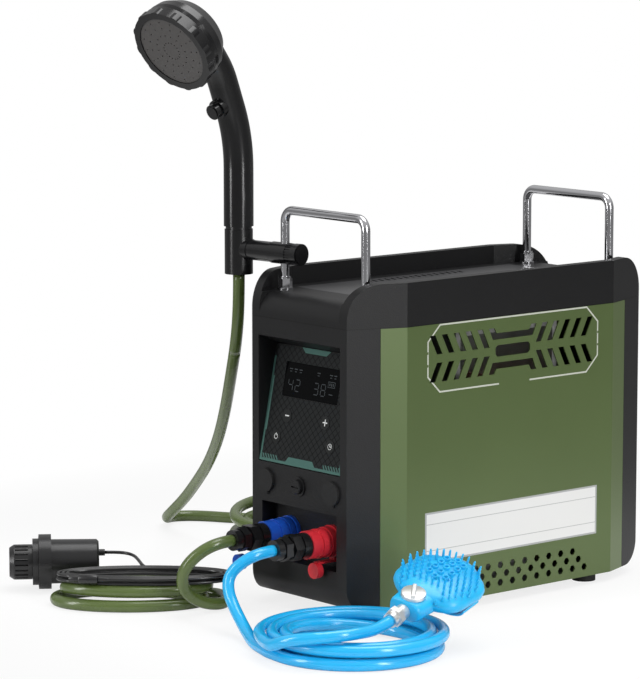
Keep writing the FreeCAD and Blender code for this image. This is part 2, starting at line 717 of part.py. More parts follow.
# Works inside: chamber, exchanger, burner, gas valve, flow switch and pipes
def make_inside():
    base_top = ground + base_thick
    burner = Piece("burner", (0, 10.0, base_top))
    burner.add("XY", 0, [box(-40.0, -34.0, -60.0, 60.0), box(34.0, 40.0, -60.0, 60.0)], 45.0)
    burner.add("XY", 45.0, [box(-46.0, 46.0, -60.0, 60.0)], 25.0)
    slot = burner.cut("XY", 60.0, [box(-38.0, 38.0, -52.0, -49.0)], 12.0)
    burner.row(slot, "V_Axis", 10.0, 11)
    chamber = Piece("combustion_chamber", (0, 10.0, base_top + 70.0))
    chamber.add("XY", 0, [box(-58.0, 58.0, -66.0, 66.0)], 80.0)
    chamber.cut("XY", -1, [box(-55.0, 55.0, -63.0, 63.0)], 82.0)
    chamber.add("XY", 0, [box(-56.0, -45.0, -64.0, 64.0), box(45.0, 56.0, -64.0, 64.0)], 2.0)
    exchanger = Piece("heat_exchanger", (0, 10.0, base_top + 150.0))
    exchanger.add("XY", 0, [box(-58.0, 58.0, -66.0, 66.0)], 36.0)
    fin = exchanger.cut("XY", -1, [box(-52.0, 52.0, -60.0, -57.0)], 40.0)
    exchanger.row(fin, "V_Axis", 6.0, 20)
    exchanger.add("XZ", -60.0, [("o", x, 18.0, 6.0) for x in (-36.0, -12.0, 12.0, 36.0)], 120.0)
    hood = Piece("flue_hood", (0, 10.0, base_top + 186.0))
    hood.add("XY", 0, [box(-70.0, 70.0, -66.0, 66.0)], tray - tray_floor - base_top - 190.0)
    hood.cut("XY", -1, [box(-56.0, 56.0, -64.5, 64.5)], 40.0)
    hood.cut("YZ", -across, [box(-60.0, 60.0, 4.0, 60.0)], across * 2)
    valve = Piece("gas_valve", (0, 130.0, base_top))
    valve.add("XY", 0, [box(-18.0, 18.0, -14.0, 14.0)], 72.0)
    valve.add("XZ", -end + 130.0 + wall + 3.0, [("o", 0, inlet_z - base_top, 7.0)],
              end - 130.0 - wall - 3.0 - 13.0)
    valve.add("XZ", 13.0, [("o", 0, 55.0, 5.0)], 46.8)
    inlet = Piece("gas_inlet", (0, end, inlet_z), (1, 0, 0), -90)
    inlet.turn([[(4.0, -wall - 2.8), (11.5, -wall - 2.8), (11.5, -wall - 0.1), (inlet_radius - 0.1, -wall - 0.1),
                 (inlet_radius - 0.1, 0.1), (12.5, 0.1), (12.5, 4.0), (7.9, 4.0), (7.9, 20.0), (4.0, 20.0)]])
    switch = Piece("flow_switch", (-coupling_x, bay_face + wall + 20.0 - wall, coupling_z), (1, 0, 0), -90)
    switch.add("XY", 0.1, [("o", 0, 0, 12.0)], 38.0)
    switch.add("XY", 10.0, [box(-9.0, 9.0, -20.0, 9.0)], 20.0)


make_control_plate()
make_display_lens()
for key_name, key_place in key_places.items():
    make_key(key_name, *key_place)
make_control_board()
make_panel_sockets()
make_socket_cover("pump_socket_cover", -socket_x)
make_socket_cover("power_socket_cover", socket_x)
make_fuse_holder()
make_fuse_cap()
make_nipples()
make_dust_collar("inlet_collar", -coupling_x, -1, 60.0, 3.0)
make_dust_collar("outlet_collar", coupling_x, 1, 22.0, 6.0)
make_coupling("inlet_coupling", -coupling_x)
make_coupling("outlet_coupling", coupling_x)
make_inside()


# Shower holder: an arm clamped on the left post of the front handle, with a tilting clip
arm_turn = size("arm_turn", 8.0)
arm_z = size("arm_z", 332.5)
arm_radius = size("arm_radius", 10.3)
clip_reach = size("clip_reach", 60.0)
clip_radius = size("clip_radius", 13.6)
clip_bore = size("clip_bore", 11.2)
clip_half = size("clip_half", 21.0)


def along_arm(label, reach=0.0, up=0.0, forward=0.0):
    """A piece set in the arm's own frame: X from clip to knob, -Y forward, Z up."""
    x = -post_x + cosine(arm_turn) * reach + sine(arm_turn) * forward
    y = -post_y + sine(arm_turn) * reach - cosine(arm_turn) * forward
    return Piece(label, (x, y, arm_z + up), (0, 0, 1), arm_turn)


def make_holder_arm():
    arm = along_arm("holder_arm")
    arm.add("YZ", -15.0, [("o", 0, 0, arm_radius)], 21.5)
    arm.add("YZ", -42.8, [("o", 0, 0, arm_radius - 0.7)], 28.0)
    arm.add("YZ", -47.0, [("o", 0, 0, 5.0)], 6.0)
    arm.cut("XY", -30.0, [("o", 0, 0, rod_radius + fit_gap)], 60.0)
    arm.cut("YZ", 3.0, [("o", 0, 0, 3.0 + fit_gap)], 5.0)
    arm.cut("XY", -30.0, [[(-38.0, -1.5), (-19.0, -1.5), (-19.0, 1.5), (-38.0, 1.5)]], 25.0)


def make_holder_knob():
    knob = along_arm("holder_knob")
    knob.add("YZ", 4.6, [("o", 0, 0, 3.0)], 5.0)
    knob.add("YZ", 6.7, [("o", 0, 0, arm_radius - 0.2)], 7.5)
    rib = knob.cut("YZ", 6.5, [[(-0.6, arm_radius + 1.0), (-0.6, arm_radius - 1.0),
                                (0.6, arm_radius - 1.0), (0.6, arm_radius + 1.0)]], 6.5)
    knob.ring(rib, 24, "X_Axis")
    knob.add("YZ", 14.0, [("o", 0, 0, arm_radius + 0.1)], 6.5)
    knob.add("YZ", 20.4, [("o", 0, 0, arm_radius - 1.5)], 1.2)


def make_holder_clip():
    clip = along_arm("holder_clip", -clip_reach)
    clip.add("YZ", 0, [("o", 0, 0, arm_radius - 0.1)], 17.0)
    clip.add("XY", -24.0, [("o", 0, 0, clip_radius)], 43.0)
    clip.cut("YZ", 12.8, [("o", 0, 0, 5.0 + fit_gap)], 6.0)
    clip.cut("XY", -25.0, [("o", 0, 0, clip_bore)], 46.0)
    clip.cut("XY", -25.0, [box(-20.0, 0, -7.0, 7.0)], 46.0)


# Hand shower: bent grip, domed head, turning spray ring and push button
head_tilt = size("head_tilt", 31.8)
head_forward = size("head_forward", 91.0)
head_up = size("head_up", 192.0)
ring_radius = size("ring_radius", 43.7)
spigot_radius = size("spigot_radius", 36.0)
grip_radius = size("grip_radius", 14.3)
grip_lean = 22.0
button_up = 141.0
button_forward = 13.6


def bent(start, steps):
    """Route of runs and bends: ("run", length) ahead, ("bend", radius, degrees) to the left."""
    x, y = start
    heading = 0.0
    route = [(x, y)]
    for step in steps:
        if step[0] == "run":
            x -= step[1] * math.sin(math.radians(heading))
            y += step[1] * math.cos(math.radians(heading))
            route.append((x, y))
        else:
            radius, angle = step[1], step[2]
            cx = x - radius * math.cos(math.radians(heading))
            cy = y - radius * math.sin(math.radians(heading))
            heading += angle
            x = cx + radius * math.cos(math.radians(heading))
            y = cy + radius * math.sin(math.radians(heading))
            route.append((x, y, radius, 1))
    return route


def make_handset():
    grip = along_arm("handset_body", -clip_reach)
    route = bent((0, 21.9), [("run", 56.0), ("bend", 150.0, grip_lean), ("run", 28.0),
                             ("bend", 80.0, 16.0), ("run", 26.0)])
    grip.pipe("YZ", route, grip_radius, "XY", (0, 0, 21.9))
    grip.turn([[(0, -4.0), (spigot_radius, -4.0), (spigot_radius, -12.0), (41.0, -12.0),
                (42.0, -17.0), (40.5, -25.0), (33.0, -37.0), (20.0, -45.0), (0, -49.0)]],
              plane="YZ", shift=(-head_forward, head_up), spin=head_tilt + 90.0)
    spot = (-button_forward, button_up)
    grip.turn([[(0, 0), (9.5, 0), (9.5, 17.5), (0, 17.5)]], plane="YZ", shift=spot, spin=90.0 + grip_lean)
    grip.turn([[(0, 8.0), (7.6, 8.0), (7.6, 30.0), (0, 30.0)]], plane="YZ", kind="Groove",
              shift=spot, spin=90.0 + grip_lean)


def on_handset(label, forward, up, lean_angle):
    """A piece of the hand shower whose own Z points forward and down by an angle."""
    piece = along_arm(label, -clip_reach, up, forward)
    across_arm = FreeCAD.Rotation(vec(0, 0, 1), arm_turn.number)
    nod = FreeCAD.Rotation(vec(1, 0, 0), 90.0 + num(lean_angle))
    piece.body.setExpression("Placement.Rotation.Angle", None)
    where = piece.body.Placement.Base
    piece.body.Placement = FreeCAD.Placement(where, across_arm.multiply(nod))
    return piece


def make_spray_parts():
    ring = on_handset("spray_ring", head_forward, head_up, head_tilt)
    ring.add("XY", -11.8, [("o", 0, 0, ring_radius - 1.2)], 11.8)
    lobe = ring.add("XY", -8.0, [("o", ring_radius - 8.0, 0, 8.0)], 8.0)
    ring.ring(lobe, 12)
    ring.cut("XY", -13.0, [("o", 0, 0, spigot_radius + fit_gap)], 14.0)
    plate = on_handset("spray_plate", head_forward, head_up, head_tilt)
    plate.add("XY", -3.95, [("o", 0, 0, spigot_radius - 0.1)], 3.0)
    hole = plate.cut("XY", -2.4, [("o", r, 0, 0.7) for r in (9.0, 17.0, 25.0, 32.0)], 3.0)
    plate.ring(hole, 16)
    button = on_handset("handset_button", button_forward, button_up, grip_lean)
    button.add("XY", 11.5, [("o", 0, 0, 7.5)], 12.5)
    button.add("XY", 23.5, [("o", 0, 0, 6.0)], 1.5)


def make_hose_cone():
    cone = along_arm("shower_hose_cone", -clip_reach)
    cone.turn([[(0, -24.0), (8.2, -24.0), (9.0, -10.0), (clip_bore - 0.06, 6.0), (clip_bore - 0.06, 19.1),
                (12.6, 19.1), (12.6, 21.8), (0, 21.8)]])


make_holder_arm()
make_holder_knob()
make_holder_clip()
make_handset()
make_spray_parts()
make_hose_cone()


# Lift pump: motor body with a flange and barb, and a slotted strainer that twists on
pump_height = size("pump_height", 27.0)
pump_x = size("pump_x", -239.0)
pump_y = size("pump_y", -311.0)
pump_turn = 235.0


def on_pump(label):
    """A piece on the pump's axis: own Z runs from the body to the strainer."""
    piece = Piece(label, (pump_x, pump_y, pump_height))
    level = FreeCAD.Rotation(vec(0, 0, 1), pump_turn - 90.0)
    tip = FreeCAD.Rotation(vec(1, 0, 0), -90.0)
    piece.body.setExpression("Placement.Rotation.Angle", None)
    where = piece.body.Placement.Base
    piece.body.Placement = FreeCAD.Placement(where, level.multiply(tip))
    return piece


def make_pump():
    body = on_pump("pump_body")
    body.turn([[(0, -52.0), (19.0, -52.0), (21.0, -50.0), (21.5, -6.0), (26.5, -6.0), (26.5, 6.0),
                (22.5, 6.5), (22.5, 12.0), (15.5, 12.0), (15.5, 14.0), (0, 14.0)]])
    body.add("XY", -62.0, [("o", 0, 13.0, 6.4)], 12.0)
    body.add("XY", -58.0, [("o", 0, -8.0, 3.2)], 8.0)
    for height in (-40.0, -26.0):
        body.add("XY", height, [box(12.0, 23.0, -14.0, -4.0)], 2.0)
    strainer = on_pump("pump_strainer")
    strainer.turn([[(15.56, 12.2), (17.0, 12.2), (17.0, 30.0), (14.0, 34.5), (0, 34.5), (0, 31.0),
                    (13.0, 31.0), (14.5, 28.0), (14.5, 14.5), (15.56, 14.5)]])
    slot = strainer.cut("XZ", 0, [box(-0.9, 0.9, 16.5, 29.0)], 25.0)
    strainer.ring(slot, 20)


make_pump()


# Washing brush: rubber-faced hand pad with a turning valve, a strap and a chromed fitting
brush_x = size("brush_x", 185.0)
brush_y = size("brush_y", -184.0)
brush_z = size("brush_z", 56.0)


def on_brush(label):
    """A piece in the brush's frame: X runs to the hose fitting, Z out of the rubber face."""
    piece = Piece(label, (brush_x, brush_y, brush_z))
    neck = vec(0.19, -0.945, -0.265)
    face = vec(0.358, -0.304, 0.883)
    piece.body.setExpression("Placement.Rotation.Angle", None)
    where = piece.body.Placement.Base
    piece.body.Placement = FreeCAD.Placement(where, FreeCAD.Rotation(neck, vec(), face, "XZY"))
    return piece


def oval(long, wide, corner):
    return [(-long, -wide + corner), (-long + corner, -wide, corner, 1), (long - corner, -wide),
            (long, -wide + corner, corner, 1), (long, wide - corner), (long - corner, wide, corner, 1),
            (-long + corner, wide), (-long, wide - corner, corner, 1)]


def make_brush():
    pad = on_brush("brush_body")
    pad.add("XY", -9.0, [oval(44.0, 37.0, 34.0)], 14.0)
    pad.add("XY", -11.0, [oval(40.0, 33.0, 30.0)], 18.5)
    nubs = [("o", -36.0 + 9.0 * a, -27.0 + 9.0 * b, 1.9) for a in range(8) for b in range(7)
            if abs(-36.0 + 9.0 * a + 2.0) / 40.0 + abs(-27.0 + 9.0 * b) / 37.0 < 1.25]
    pad.add("XY", 7.0, nubs, 8.0)
    pad.add("YZ", 36.0, [("o", 0, -2.0, 11.0)], 22.0)
    pad.cut("YZ", 50.0, [("o", 0, -2.0, 7.0)], 9.0)
    pad.cut("XY", 5.0, [("o", 36.5, 0, 8.6)], 12.0)
    pad.cut("XY", 3.0, [("o", 36.5, 0, 3.05)], 8.0)
    knob = on_brush("brush_knob")
    knob.add("XY", 5.2, [("o", 36.5, 0, 8.4)], 4.6)
    knob.add("XY", 3.4, [("o", 36.5, 0, 3.0)], 2.0)
    knob.add("XY", 9.7, [box(29.5, 43.5, -1.6, 1.6)], 2.6)
    fitting = on_brush("brush_fitting")
    fitting.add("YZ", 50.2, [("o", 0, -2.0, 6.9)], 9.0)
    fitting.add("YZ", 59.0, [hexagon(0, -2.0, 16.0)], 6.0)
    fitting.add("YZ", 65.0, [("o", 0, -2.0, 7.0)], 6.0)
    strap = on_brush("brush_strap")
    strap.add("XZ", -13.0, [[(-30.0, -11.2), (-30.0, -14.0), (-16.0, -19.5), (16.0, -19.5), (30.0, -14.0),
                             (30.0, -11.2), (25.0, -11.2), (14.0, -17.0), (-14.0, -17.0),
                             (-25.0, -11.2)]], 26.0)


make_brush()


# Free hoses and leads: flexible tubes that hang or lie on the ground
coil_radius = size("coil_radius", 60.0)
wash_coil_radius = size("wash_coil_radius", 82.0)
hose_radius = size("hose_radius", 5.75)
wash_radius = size("wash_radius", 5.5)
wire_radius = size("wire_radius", 1.6)
bed = 0.1


def finish_tube(label, edges, radius):
    """Sweeps a circle along joined edges and checks the volume against section times length."""
    wire = Part.Wire(edges)
    first = edges[0]
    start = first.valueAt(first.FirstParameter)
    ahead = first.tangentAt(first.FirstParameter)
    ring = Part.Wire(Part.Circle(start, ahead, radius).toShape())
    solid = wire.makePipeShell([ring], True, False)
    share = solid.Volume / (math.pi * radius * radius * wire.Length)
    node = doc.addObject("Part::Feature", label)
    node.Label = label
    node.Shape = solid
    Piece.all.append(node)
    print("%s: length %.0f mm, volume share %.3f" % (label, wire.Length, share))
    return node


def route_tube(label, points, radius):
    """Tube of straight runs joined by arcs as large as the runs allow."""
    spots = [vec(*[num(v) for v in p]) for p in points]
    edges = []
    radii = []
    here = spots[0]
    for before, corner, after in zip(spots, spots[1:], spots[2:]):
        back = (before - corner).normalize()
        forth = (after - corner).normalize()
        turn = math.pi - back.getAngle(forth)
        leg = 0.45 * min((before - corner).Length, (after - corner).Length)
        bend = leg / math.tan(turn / 2)
        a = corner + back * leg
        b = corner + forth * leg
        middle = (back + forth).normalize()
        crown = corner + middle * (bend / math.cos(turn / 2) - bend)
        edges.append(Part.LineSegment(here, a).toShape())
        edges.append(Part.Arc(a, crown, b).toShape())
        radii.append(bend)
        here = b
    edges.append(Part.LineSegment(here, spots[-1]).toShape())
    print("%s: bend radii %s" % (label, [round(r) for r in radii]))
    finish_tube(label, edges, radius)


def biarc(p0, t0, p1, t1):
    """Two arcs that leave p0 along t0 and reach p1 along t1."""
    span = p1 - p0
    both = t0 + t1
    gain = 4.0 - both.dot(both)
    reach = (math.sqrt(span.dot(both) ** 2 + gain * span.dot(span)) - span.dot(both)) / gain
    q0 = p0 + t0 * reach
    q1 = p1 - t1 * reach
    join = (q0 + q1) * 0.5
    arcs = []
    for a, knee, b in ((p0, q0, join), (join, q1, p1)):
        back = (a - knee).normalize()
        forth = (b - knee).normalize()
        turn = math.pi - back.getAngle(forth)
        bend = reach / math.tan(turn / 2)
        middle = (back + forth).normalize()
        arcs.append(Part.Arc(a, knee + middle * (bend / math.cos(turn / 2) - bend), b).toShape())
    return arcs


def wound_tube(label, place_at, quarters, radius):
    """One unbroken tube along a formula of place by quarter turns, with straight ends."""
    spots = [place_at(k) for k in range(quarters + 1)]
    ways = []
    for k in range(quarters + 1):
        ahead = place_at(k + 0.01) - place_at(k - 0.01)
        ways.append(ahead.normalize())
    edges = [Part.LineSegment(spots[0] - ways[0] * (radius * 2), spots[0]).toShape()]
    for k in range(quarters):
        edges += biarc(spots[k], ways[k], spots[k + 1], ways[k + 1])
    edges.append(Part.LineSegment(spots[-1], spots[-1] + ways[-1] * (radius * 2)).toShape())
    fine = [place_at(k / 12.0) for k in range(quarters * 12 + 1)]
    least = min((a - b).Length for i, a in enumerate(fine) for b in fine[i + 20:])
    print("%s: least gap to itself %.2f mm" % (label, least - radius * 2))
    finish_tube(label, edges, radius)


def piled(centre, long, wide, floor, turns, start, way, step, last=99, lift=0.0):
    """Place on a two-layer coil or hank: it spirals in, climbs in half a turn and spirals out.
    The half turn that ends at last rises by lift."""
    inward = turns * 4

    def place_at(quarter):
        angle = math.radians(start) + way * quarter * math.pi / 2
        rise = 0.0
        if quarter <= inward:
            drawn = step * quarter / 4.0
        elif quarter <= inward + 2:
            share = (quarter - inward) / 2.0
            drawn = step * turns + step / (2 * math.pi) * math.sin(math.pi * share)
            rise = step * (1 - math.cos(math.pi * share)) / 2.0
        else:
            drawn = step * turns - step * (quarter - inward - 2) / 4.0
            rise = step
        if quarter > last - 2:
            rise = rise + lift * (1 - math.cos(math.pi * (quarter - last + 2) / 2.0)) / 2.0
        flat = sight * ((long - drawn) * math.cos(angle)) + away * ((wide - drawn) * math.sin(angle))
        return vec(centre[0], centre[1], floor + rise) + flat

    return place_at


sight_turn = 49.7
sight = vec(math.cos(math.radians(sight_turn)), math.sin(math.radians(sight_turn)), 0)
away = vec(-sight.y, sight.x, 0)
hose = hose_radius.number
wash = wash_radius.number
wire = wire_radius.number
shower_reach = coil_radius.number + 12.0
wash_reach = wash_coil_radius.number
shower_coil = piled((-274.0, 33.0), shower_reach, shower_reach, hose + bed, 2, 90.0, -1, 12.3, 16, 13.5)
wash_coil = piled((152.0, -252.0), wash_reach, wash_reach, wash + bed, 1.5, 200.3, 1, 11.8)
pump_hank = piled((-128.0, -288.0), 80.0, 44.0, hose + bed, 1, 45.0, 1, 13.2)
lead_floor = hose * 4 + 1.8 + wire
lead_hank = piled((-120.0, -282.0), 86.0, 32.0, lead_floor, 3, 70.0, -1, 4.4)


def ends_of(place_at, quarters, radius):
    """The two free ends of a coil with its straight leads, and the way out of each."""
    first = (place_at(0.01) - place_at(-0.01)).normalize()
    last = (place_at(quarters + 0.01) - place_at(quarters - 0.01)).normalize()
    lead = radius * 2
    return place_at(0) - first * lead, first * -1, place_at(quarters) + last * lead, last


def spot(point, way, reach):
    return tuple(point + way * reach)


# Shower hose: falls from the holder to the ground behind, and is stored as a coil there
clip_x = -post_x.number - cosine(arm_turn).number * clip_reach.number
clip_y = -post_y.number - sine(arm_turn).number * clip_reach.number
clip_z = arm_z.number - 24.0
coil_in, coil_in_way, coil_out, coil_out_way = ends_of(shower_coil, 16, hose)
wound_tube("shower_hose_coil", shower_coil, 16, hose)
route_tube("shower_hose", [
    (clip_x, clip_y, clip_z), (clip_x, clip_y, clip_z - 30.0), (-129.0, -160.5, 240.0),
    (-152.0, -149.0, 202.0), (-186.0, -129.0, 162.0), (-229.0, -104.0, 124.0), (-278.0, -78.0, 90.0),
    (-324.0, -58.0, 61.0), (-357.0, -47.0, 39.0), (-385.0, -41.0, 21.0), (-409.0, -32.0, 8.5),
    (-424.0, -10.0, hose + bed), (-410.0, 12.0, hose + bed),
    spot(coil_in, coil_in_way, 46.0), tuple(coil_in)], hose)

# Pump hose: from the cold coupling to a hank on the ground, and from there to the pump
front_end = bay_face.number - coupling_end.number
cold_x = -coupling_x.number
mouth_z = coupling_z.number
hank_in, hank_in_way, hank_out, hank_out_way = ends_of(pump_hank, 8, hose)
wound_tube("pump_hose_hank", pump_hank, 8, hose)
route_tube("pump_hose", [
    (cold_x, front_end, mouth_z), (cold_x, front_end - 16.0, mouth_z),
    (-38.0, -277.0, 64.0), (-47.0, -287.0, 51.0), (-54.0, -288.0, 37.0), (-57.0, -281.0, 23.0),
    (-56.0, -266.0, 12.0), (-54.0, -248.0, 6.8), (-59.0, -229.0, hose + bed),
    spot(hank_in, hank_in_way, 20.0), tuple(hank_in)], hose)
axis_x = math.cos(math.radians(pump_turn))
axis_y = math.sin(math.radians(pump_turn))
barb = vec(pump_x.number - 62.0 * axis_x, pump_y.number - 62.0 * axis_y, pump_height.number - 13.0)
outward = vec(-axis_x, -axis_y, 0)
route_tube("pump_hose_tail", [
    tuple(hank_out), spot(hank_out, hank_out_way, 16.0), (-155.0, -243.0, 17.5), (-173.0, -233.0, 15.5),
    spot(barb, outward, 25.0), tuple(barb)], hose)

# Pump lead: twin cable from the pump to a hank that lies on the hose
lead_in, lead_in_way, lead_out, lead_out_way = ends_of(lead_hank, 26, wire)
wound_tube("pump_lead_hank", lead_hank, 26, wire)
gland = vec(pump_x.number - 58.0 * axis_x, pump_y.number - 58.0 * axis_y, pump_height.number + 8.0)
route_tube("pump_lead", [
    tuple(gland), spot(gland, outward, 15.0), (-183.0, -246.0, 34.0), (-166.0, -252.0, 31.5),
    (-150.0, -259.0, 29.0), spot(lead_in, lead_in_way, 16.0), tuple(lead_in)], wire)

# Wash hose: from the hot coupling to a coil on the ground, and over it to the brush
hot_x = coupling_x.number
pool_in, pool_in_way, pool_out, pool_out_way = ends_of(wash_coil, 16, wash)
wound_tube("wash_hose_coil", wash_coil, 16, wash)
route_tube("wash_hose", [
    (hot_x, front_end, mouth_z), (hot_x, front_end - 16.0, mouth_z), (23.0, -277.0, 64.0),
    (15.0, -286.0, 52.0), (19.0, -291.0, 39.0), (30.0, -293.0, 26.0), (46.0, -297.0, 15.0),
    (64.0, -304.0, 8.0), spot(pool_in, pool_in_way, 26.0), tuple(pool_in)], wash)
neck_way = vec(0.19, -0.945, -0.265).normalize()
brush_at = vec(brush_x.number, brush_y.number, brush_z.number)
face_way = vec(0.358, -0.304, 0.883)
face_way = (face_way - neck_way * face_way.dot(neck_way)).normalize()
mouth = brush_at + neck_way * 71.0 - face_way * 2.0
route_tube("wash_hose_tail", [
    tuple(pool_out), spot(pool_out, pool_out_way, 14.0), (162.0, -342.0, 24.5), (181.0, -333.0, 28.6),
    (194.0, -317.0, 30.0), (202.0, -299.0, 31.0), spot(mouth, neck_way, 18.0), tuple(mouth)], wash)


def make_shower_coupling():
    """The same quick coupling on the shower hose's free end, behind the heater."""
    coupling = Piece("shower_coupling", tuple(coil_out))
    level = FreeCAD.Rotation(vec(0, 0, 1), coil_out_way)
    coupling.body.Placement = FreeCAD.Placement(coil_out, level)
    coupling.turn([[(0, 0), (9.0, 0), (9.0, 27.5), (10.6, 27.5), (10.6, 29.0), (12.2, 29.0), (12.2, 38.0),
                    (9.7, 38.0), (9.7, 60.0), (7.1, 60.0), (7.1, 40.0), (0, 40.0)]])
    coupling.add("XY", 8.0, [hexagon(0, 0, 20.5, 30)], 8.0)
    coupling.add("XY", 17.5, [hexagon(0, 0, 23.0)], 10.0)


make_shower_coupling()


# Writing the nodes
doc.recompute()
for thing in doc.Objects:
    if "Invalid" in thing.State or "Error" in thing.State:
        raise SystemExit("%s did not build: %s" % (thing.Name, thing.State))
for node in Piece.all:
    shape = node.Shape
    if shape.isNull() or not shape.isValid():
        raise SystemExit("%s has no valid shape" % node.Label)
    shape.exportStep("parts/%s.step" % node.Label)
    box_of = shape.BoundBox
    print("%-24s %9.0f mm3 %d solid(s)  %s" % (node.Label, shape.Volume, len(shape.Solids), [
        round(v, 1) for v in (box_of.XMin, box_of.XMax, box_of.YMin, box_of.YMax, box_of.ZMin, box_of.ZMax)]))
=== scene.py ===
import math

import bpy
from mathutils import Euler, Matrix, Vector


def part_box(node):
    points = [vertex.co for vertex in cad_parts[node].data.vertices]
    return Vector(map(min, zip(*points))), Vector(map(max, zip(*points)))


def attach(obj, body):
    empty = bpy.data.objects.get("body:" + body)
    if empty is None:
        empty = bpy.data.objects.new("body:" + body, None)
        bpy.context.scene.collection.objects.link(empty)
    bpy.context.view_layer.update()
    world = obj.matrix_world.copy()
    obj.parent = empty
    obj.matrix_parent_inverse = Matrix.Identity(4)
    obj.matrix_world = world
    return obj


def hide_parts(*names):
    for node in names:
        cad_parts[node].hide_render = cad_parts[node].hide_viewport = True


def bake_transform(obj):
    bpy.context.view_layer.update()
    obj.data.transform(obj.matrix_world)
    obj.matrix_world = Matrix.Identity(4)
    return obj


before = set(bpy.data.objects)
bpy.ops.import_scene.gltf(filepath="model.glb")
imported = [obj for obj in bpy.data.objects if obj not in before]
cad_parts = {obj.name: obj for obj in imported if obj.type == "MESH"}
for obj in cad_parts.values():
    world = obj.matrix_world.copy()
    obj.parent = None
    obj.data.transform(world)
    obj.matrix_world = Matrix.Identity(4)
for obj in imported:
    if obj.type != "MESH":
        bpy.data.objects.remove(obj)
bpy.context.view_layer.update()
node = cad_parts

# Camera: a long lens looks at the heater's front right edge from a little above.
# The frame is 640 by 679, so the sensor's width belongs to the long, upright side.
lens = bpy.data.cameras.new("long_lens")
lens.lens = 181.31
lens.sensor_width = 36.0
lens.clip_end = 60.0
camera = bpy.data.objects.new("camera", lens)
camera.location = (2.4137, -2.2119, 0.7115)
camera.rotation_euler = Euler((math.radians(90.0 - 8.17), 0.0, math.radians(49.687)))
bpy.context.collection.objects.link(camera)
bpy.context.scene.camera = camera
bpy.context.scene.view_settings.view_transform = "Standard"


# Hoses and lead: extruded vinyl tube, olive for the shower and pump, sky blue for the wash brush.
# They are pushed over barbs, fall in loose bends and lie in coils on the ground.
class Wire:
    """An output socket; an expression on it adds Math nodes to its finish."""

    def __init__(self, finish, socket):
        self.finish = finish
        self.socket = socket

    def sum(self, operation, *values):
        return self.finish.add("ShaderNodeMath", {"operation": operation}, dict(enumerate(values)))

    def __add__(self, other):
        return self.sum("ADD", self, other)

    def __sub__(self, other):
        return self.sum("SUBTRACT", self, other)

    def __rsub__(self, other):
        return self.sum("SUBTRACT", other, self)

    def __mul__(self, other):
        return self.sum("MULTIPLY", self, other)

    def __truediv__(self, other):
        return self.sum("DIVIDE", self, other)

    def __lt__(self, other):
        return self.sum("LESS_THAN", self, other)

    def __gt__(self, other):
        return self.sum("GREATER_THAN", self, other)

    def __abs__(self):
        return self.sum("ABSOLUTE", self)

    __radd__ = __add__
    __rmul__ = __mul__

    def most(self, other):
        return self.sum("MAXIMUM", self, other)

    def least(self, other):
        return self.sum("MINIMUM", self, other)

    def wave(self, pitch):
        """0 in the middle of each step of a given pitch and 0.5 at its ends."""
        return abs(self.sum("FRACT", self / pitch) - 0.5)


class Finish:
    """A material whose nodes are added one by one in front of a Principled shader."""

    def __init__(self, name, colour, roughness, metallic=0.0, coat=0.0, shine=0.5):
        self.material = bpy.data.materials.new(name)
        self.material.use_nodes = True
        self.tree = self.material.node_tree
        self.shader = self.tree.nodes["Principled BSDF"]
        self.shader.inputs["Base Color"].default_value = (*colour, 1.0)
        self.shader.inputs["Roughness"].default_value = roughness
        self.shader.inputs["Metallic"].default_value = metallic
        self.shader.inputs["Coat Weight"].default_value = coat
        self.shader.inputs["Specular IOR Level"].default_value = shine
        place = self.add("ShaderNodeTexCoord", {}, {}, "Object")
        self.place = place
        self.x = self.add("ShaderNodeSeparateXYZ", {}, {0: place}, "X")
        self.y = Wire(self, self.x.socket.node.outputs["Y"])
        self.z = Wire(self, self.x.socket.node.outputs["Z"])

    def add(self, kind, settings, inputs, output=0):
        made = self.tree.nodes.new(kind)
        for key, value in settings.items():
            setattr(made, key, value)
        for key, value in inputs.items():
            if isinstance(value, Wire):
                self.tree.links.new(value.socket, made.inputs[key])
            else:
                made.inputs[key].default_value = value
        return Wire(self, made.outputs[output])

    def noise(self, scale, detail=2.0):
        return self.add("ShaderNodeTexNoise", {}, {"Vector": self.place, "Scale": scale, "Detail": detail})

    def specks(self, scale):
        return self.add("ShaderNodeTexVoronoi", {}, {"Vector": self.place, "Scale": scale}, "Distance")

    def blend(self, mask, first, second):
        """One colour where the mask is 0 and the other where it is 1."""
        first = first if isinstance(first, Wire) else (*first, 1.0)
        second = second if isinstance(second, Wire) else (*second, 1.0)
        return self.add("ShaderNodeMix", {"data_type": "RGBA"}, {0: mask, 6: first, 7: second}, 2)

    def colour(self, wire):
        self.tree.links.new(wire.socket, self.shader.inputs["Base Color"])

    def roughness(self, wire):
        self.tree.links.new(wire.socket, self.shader.inputs["Roughness"])

    def metallic(self, wire):
        self.tree.links.new(wire.socket, self.shader.inputs["Metallic"])

    def bump(self, height, depth, strength=1.0):
        """Raised by depth metres where height is 1."""
        bump = self.add("ShaderNodeBump", {}, {"Strength": strength, "Distance": depth, "Height": height})
        self.tree.links.new(bump.socket, self.shader.inputs["Normal"])

    def on(self, *things):
        for thing in things:
            thing.data.materials.clear()
            thing.data.materials.append(self.material)
        return self


def mesh_piece(name, vertices, faces, smooth=False):
    mesh = bpy.data.meshes.new(name)
    mesh.from_pydata([tuple(v) for v in vertices], [], faces)
    mesh.validate()
    for face in mesh.polygons:
        face.use_smooth = smooth
    piece = bpy.data.objects.new(name, mesh)
    bpy.context.collection.objects.link(piece)
    return piece


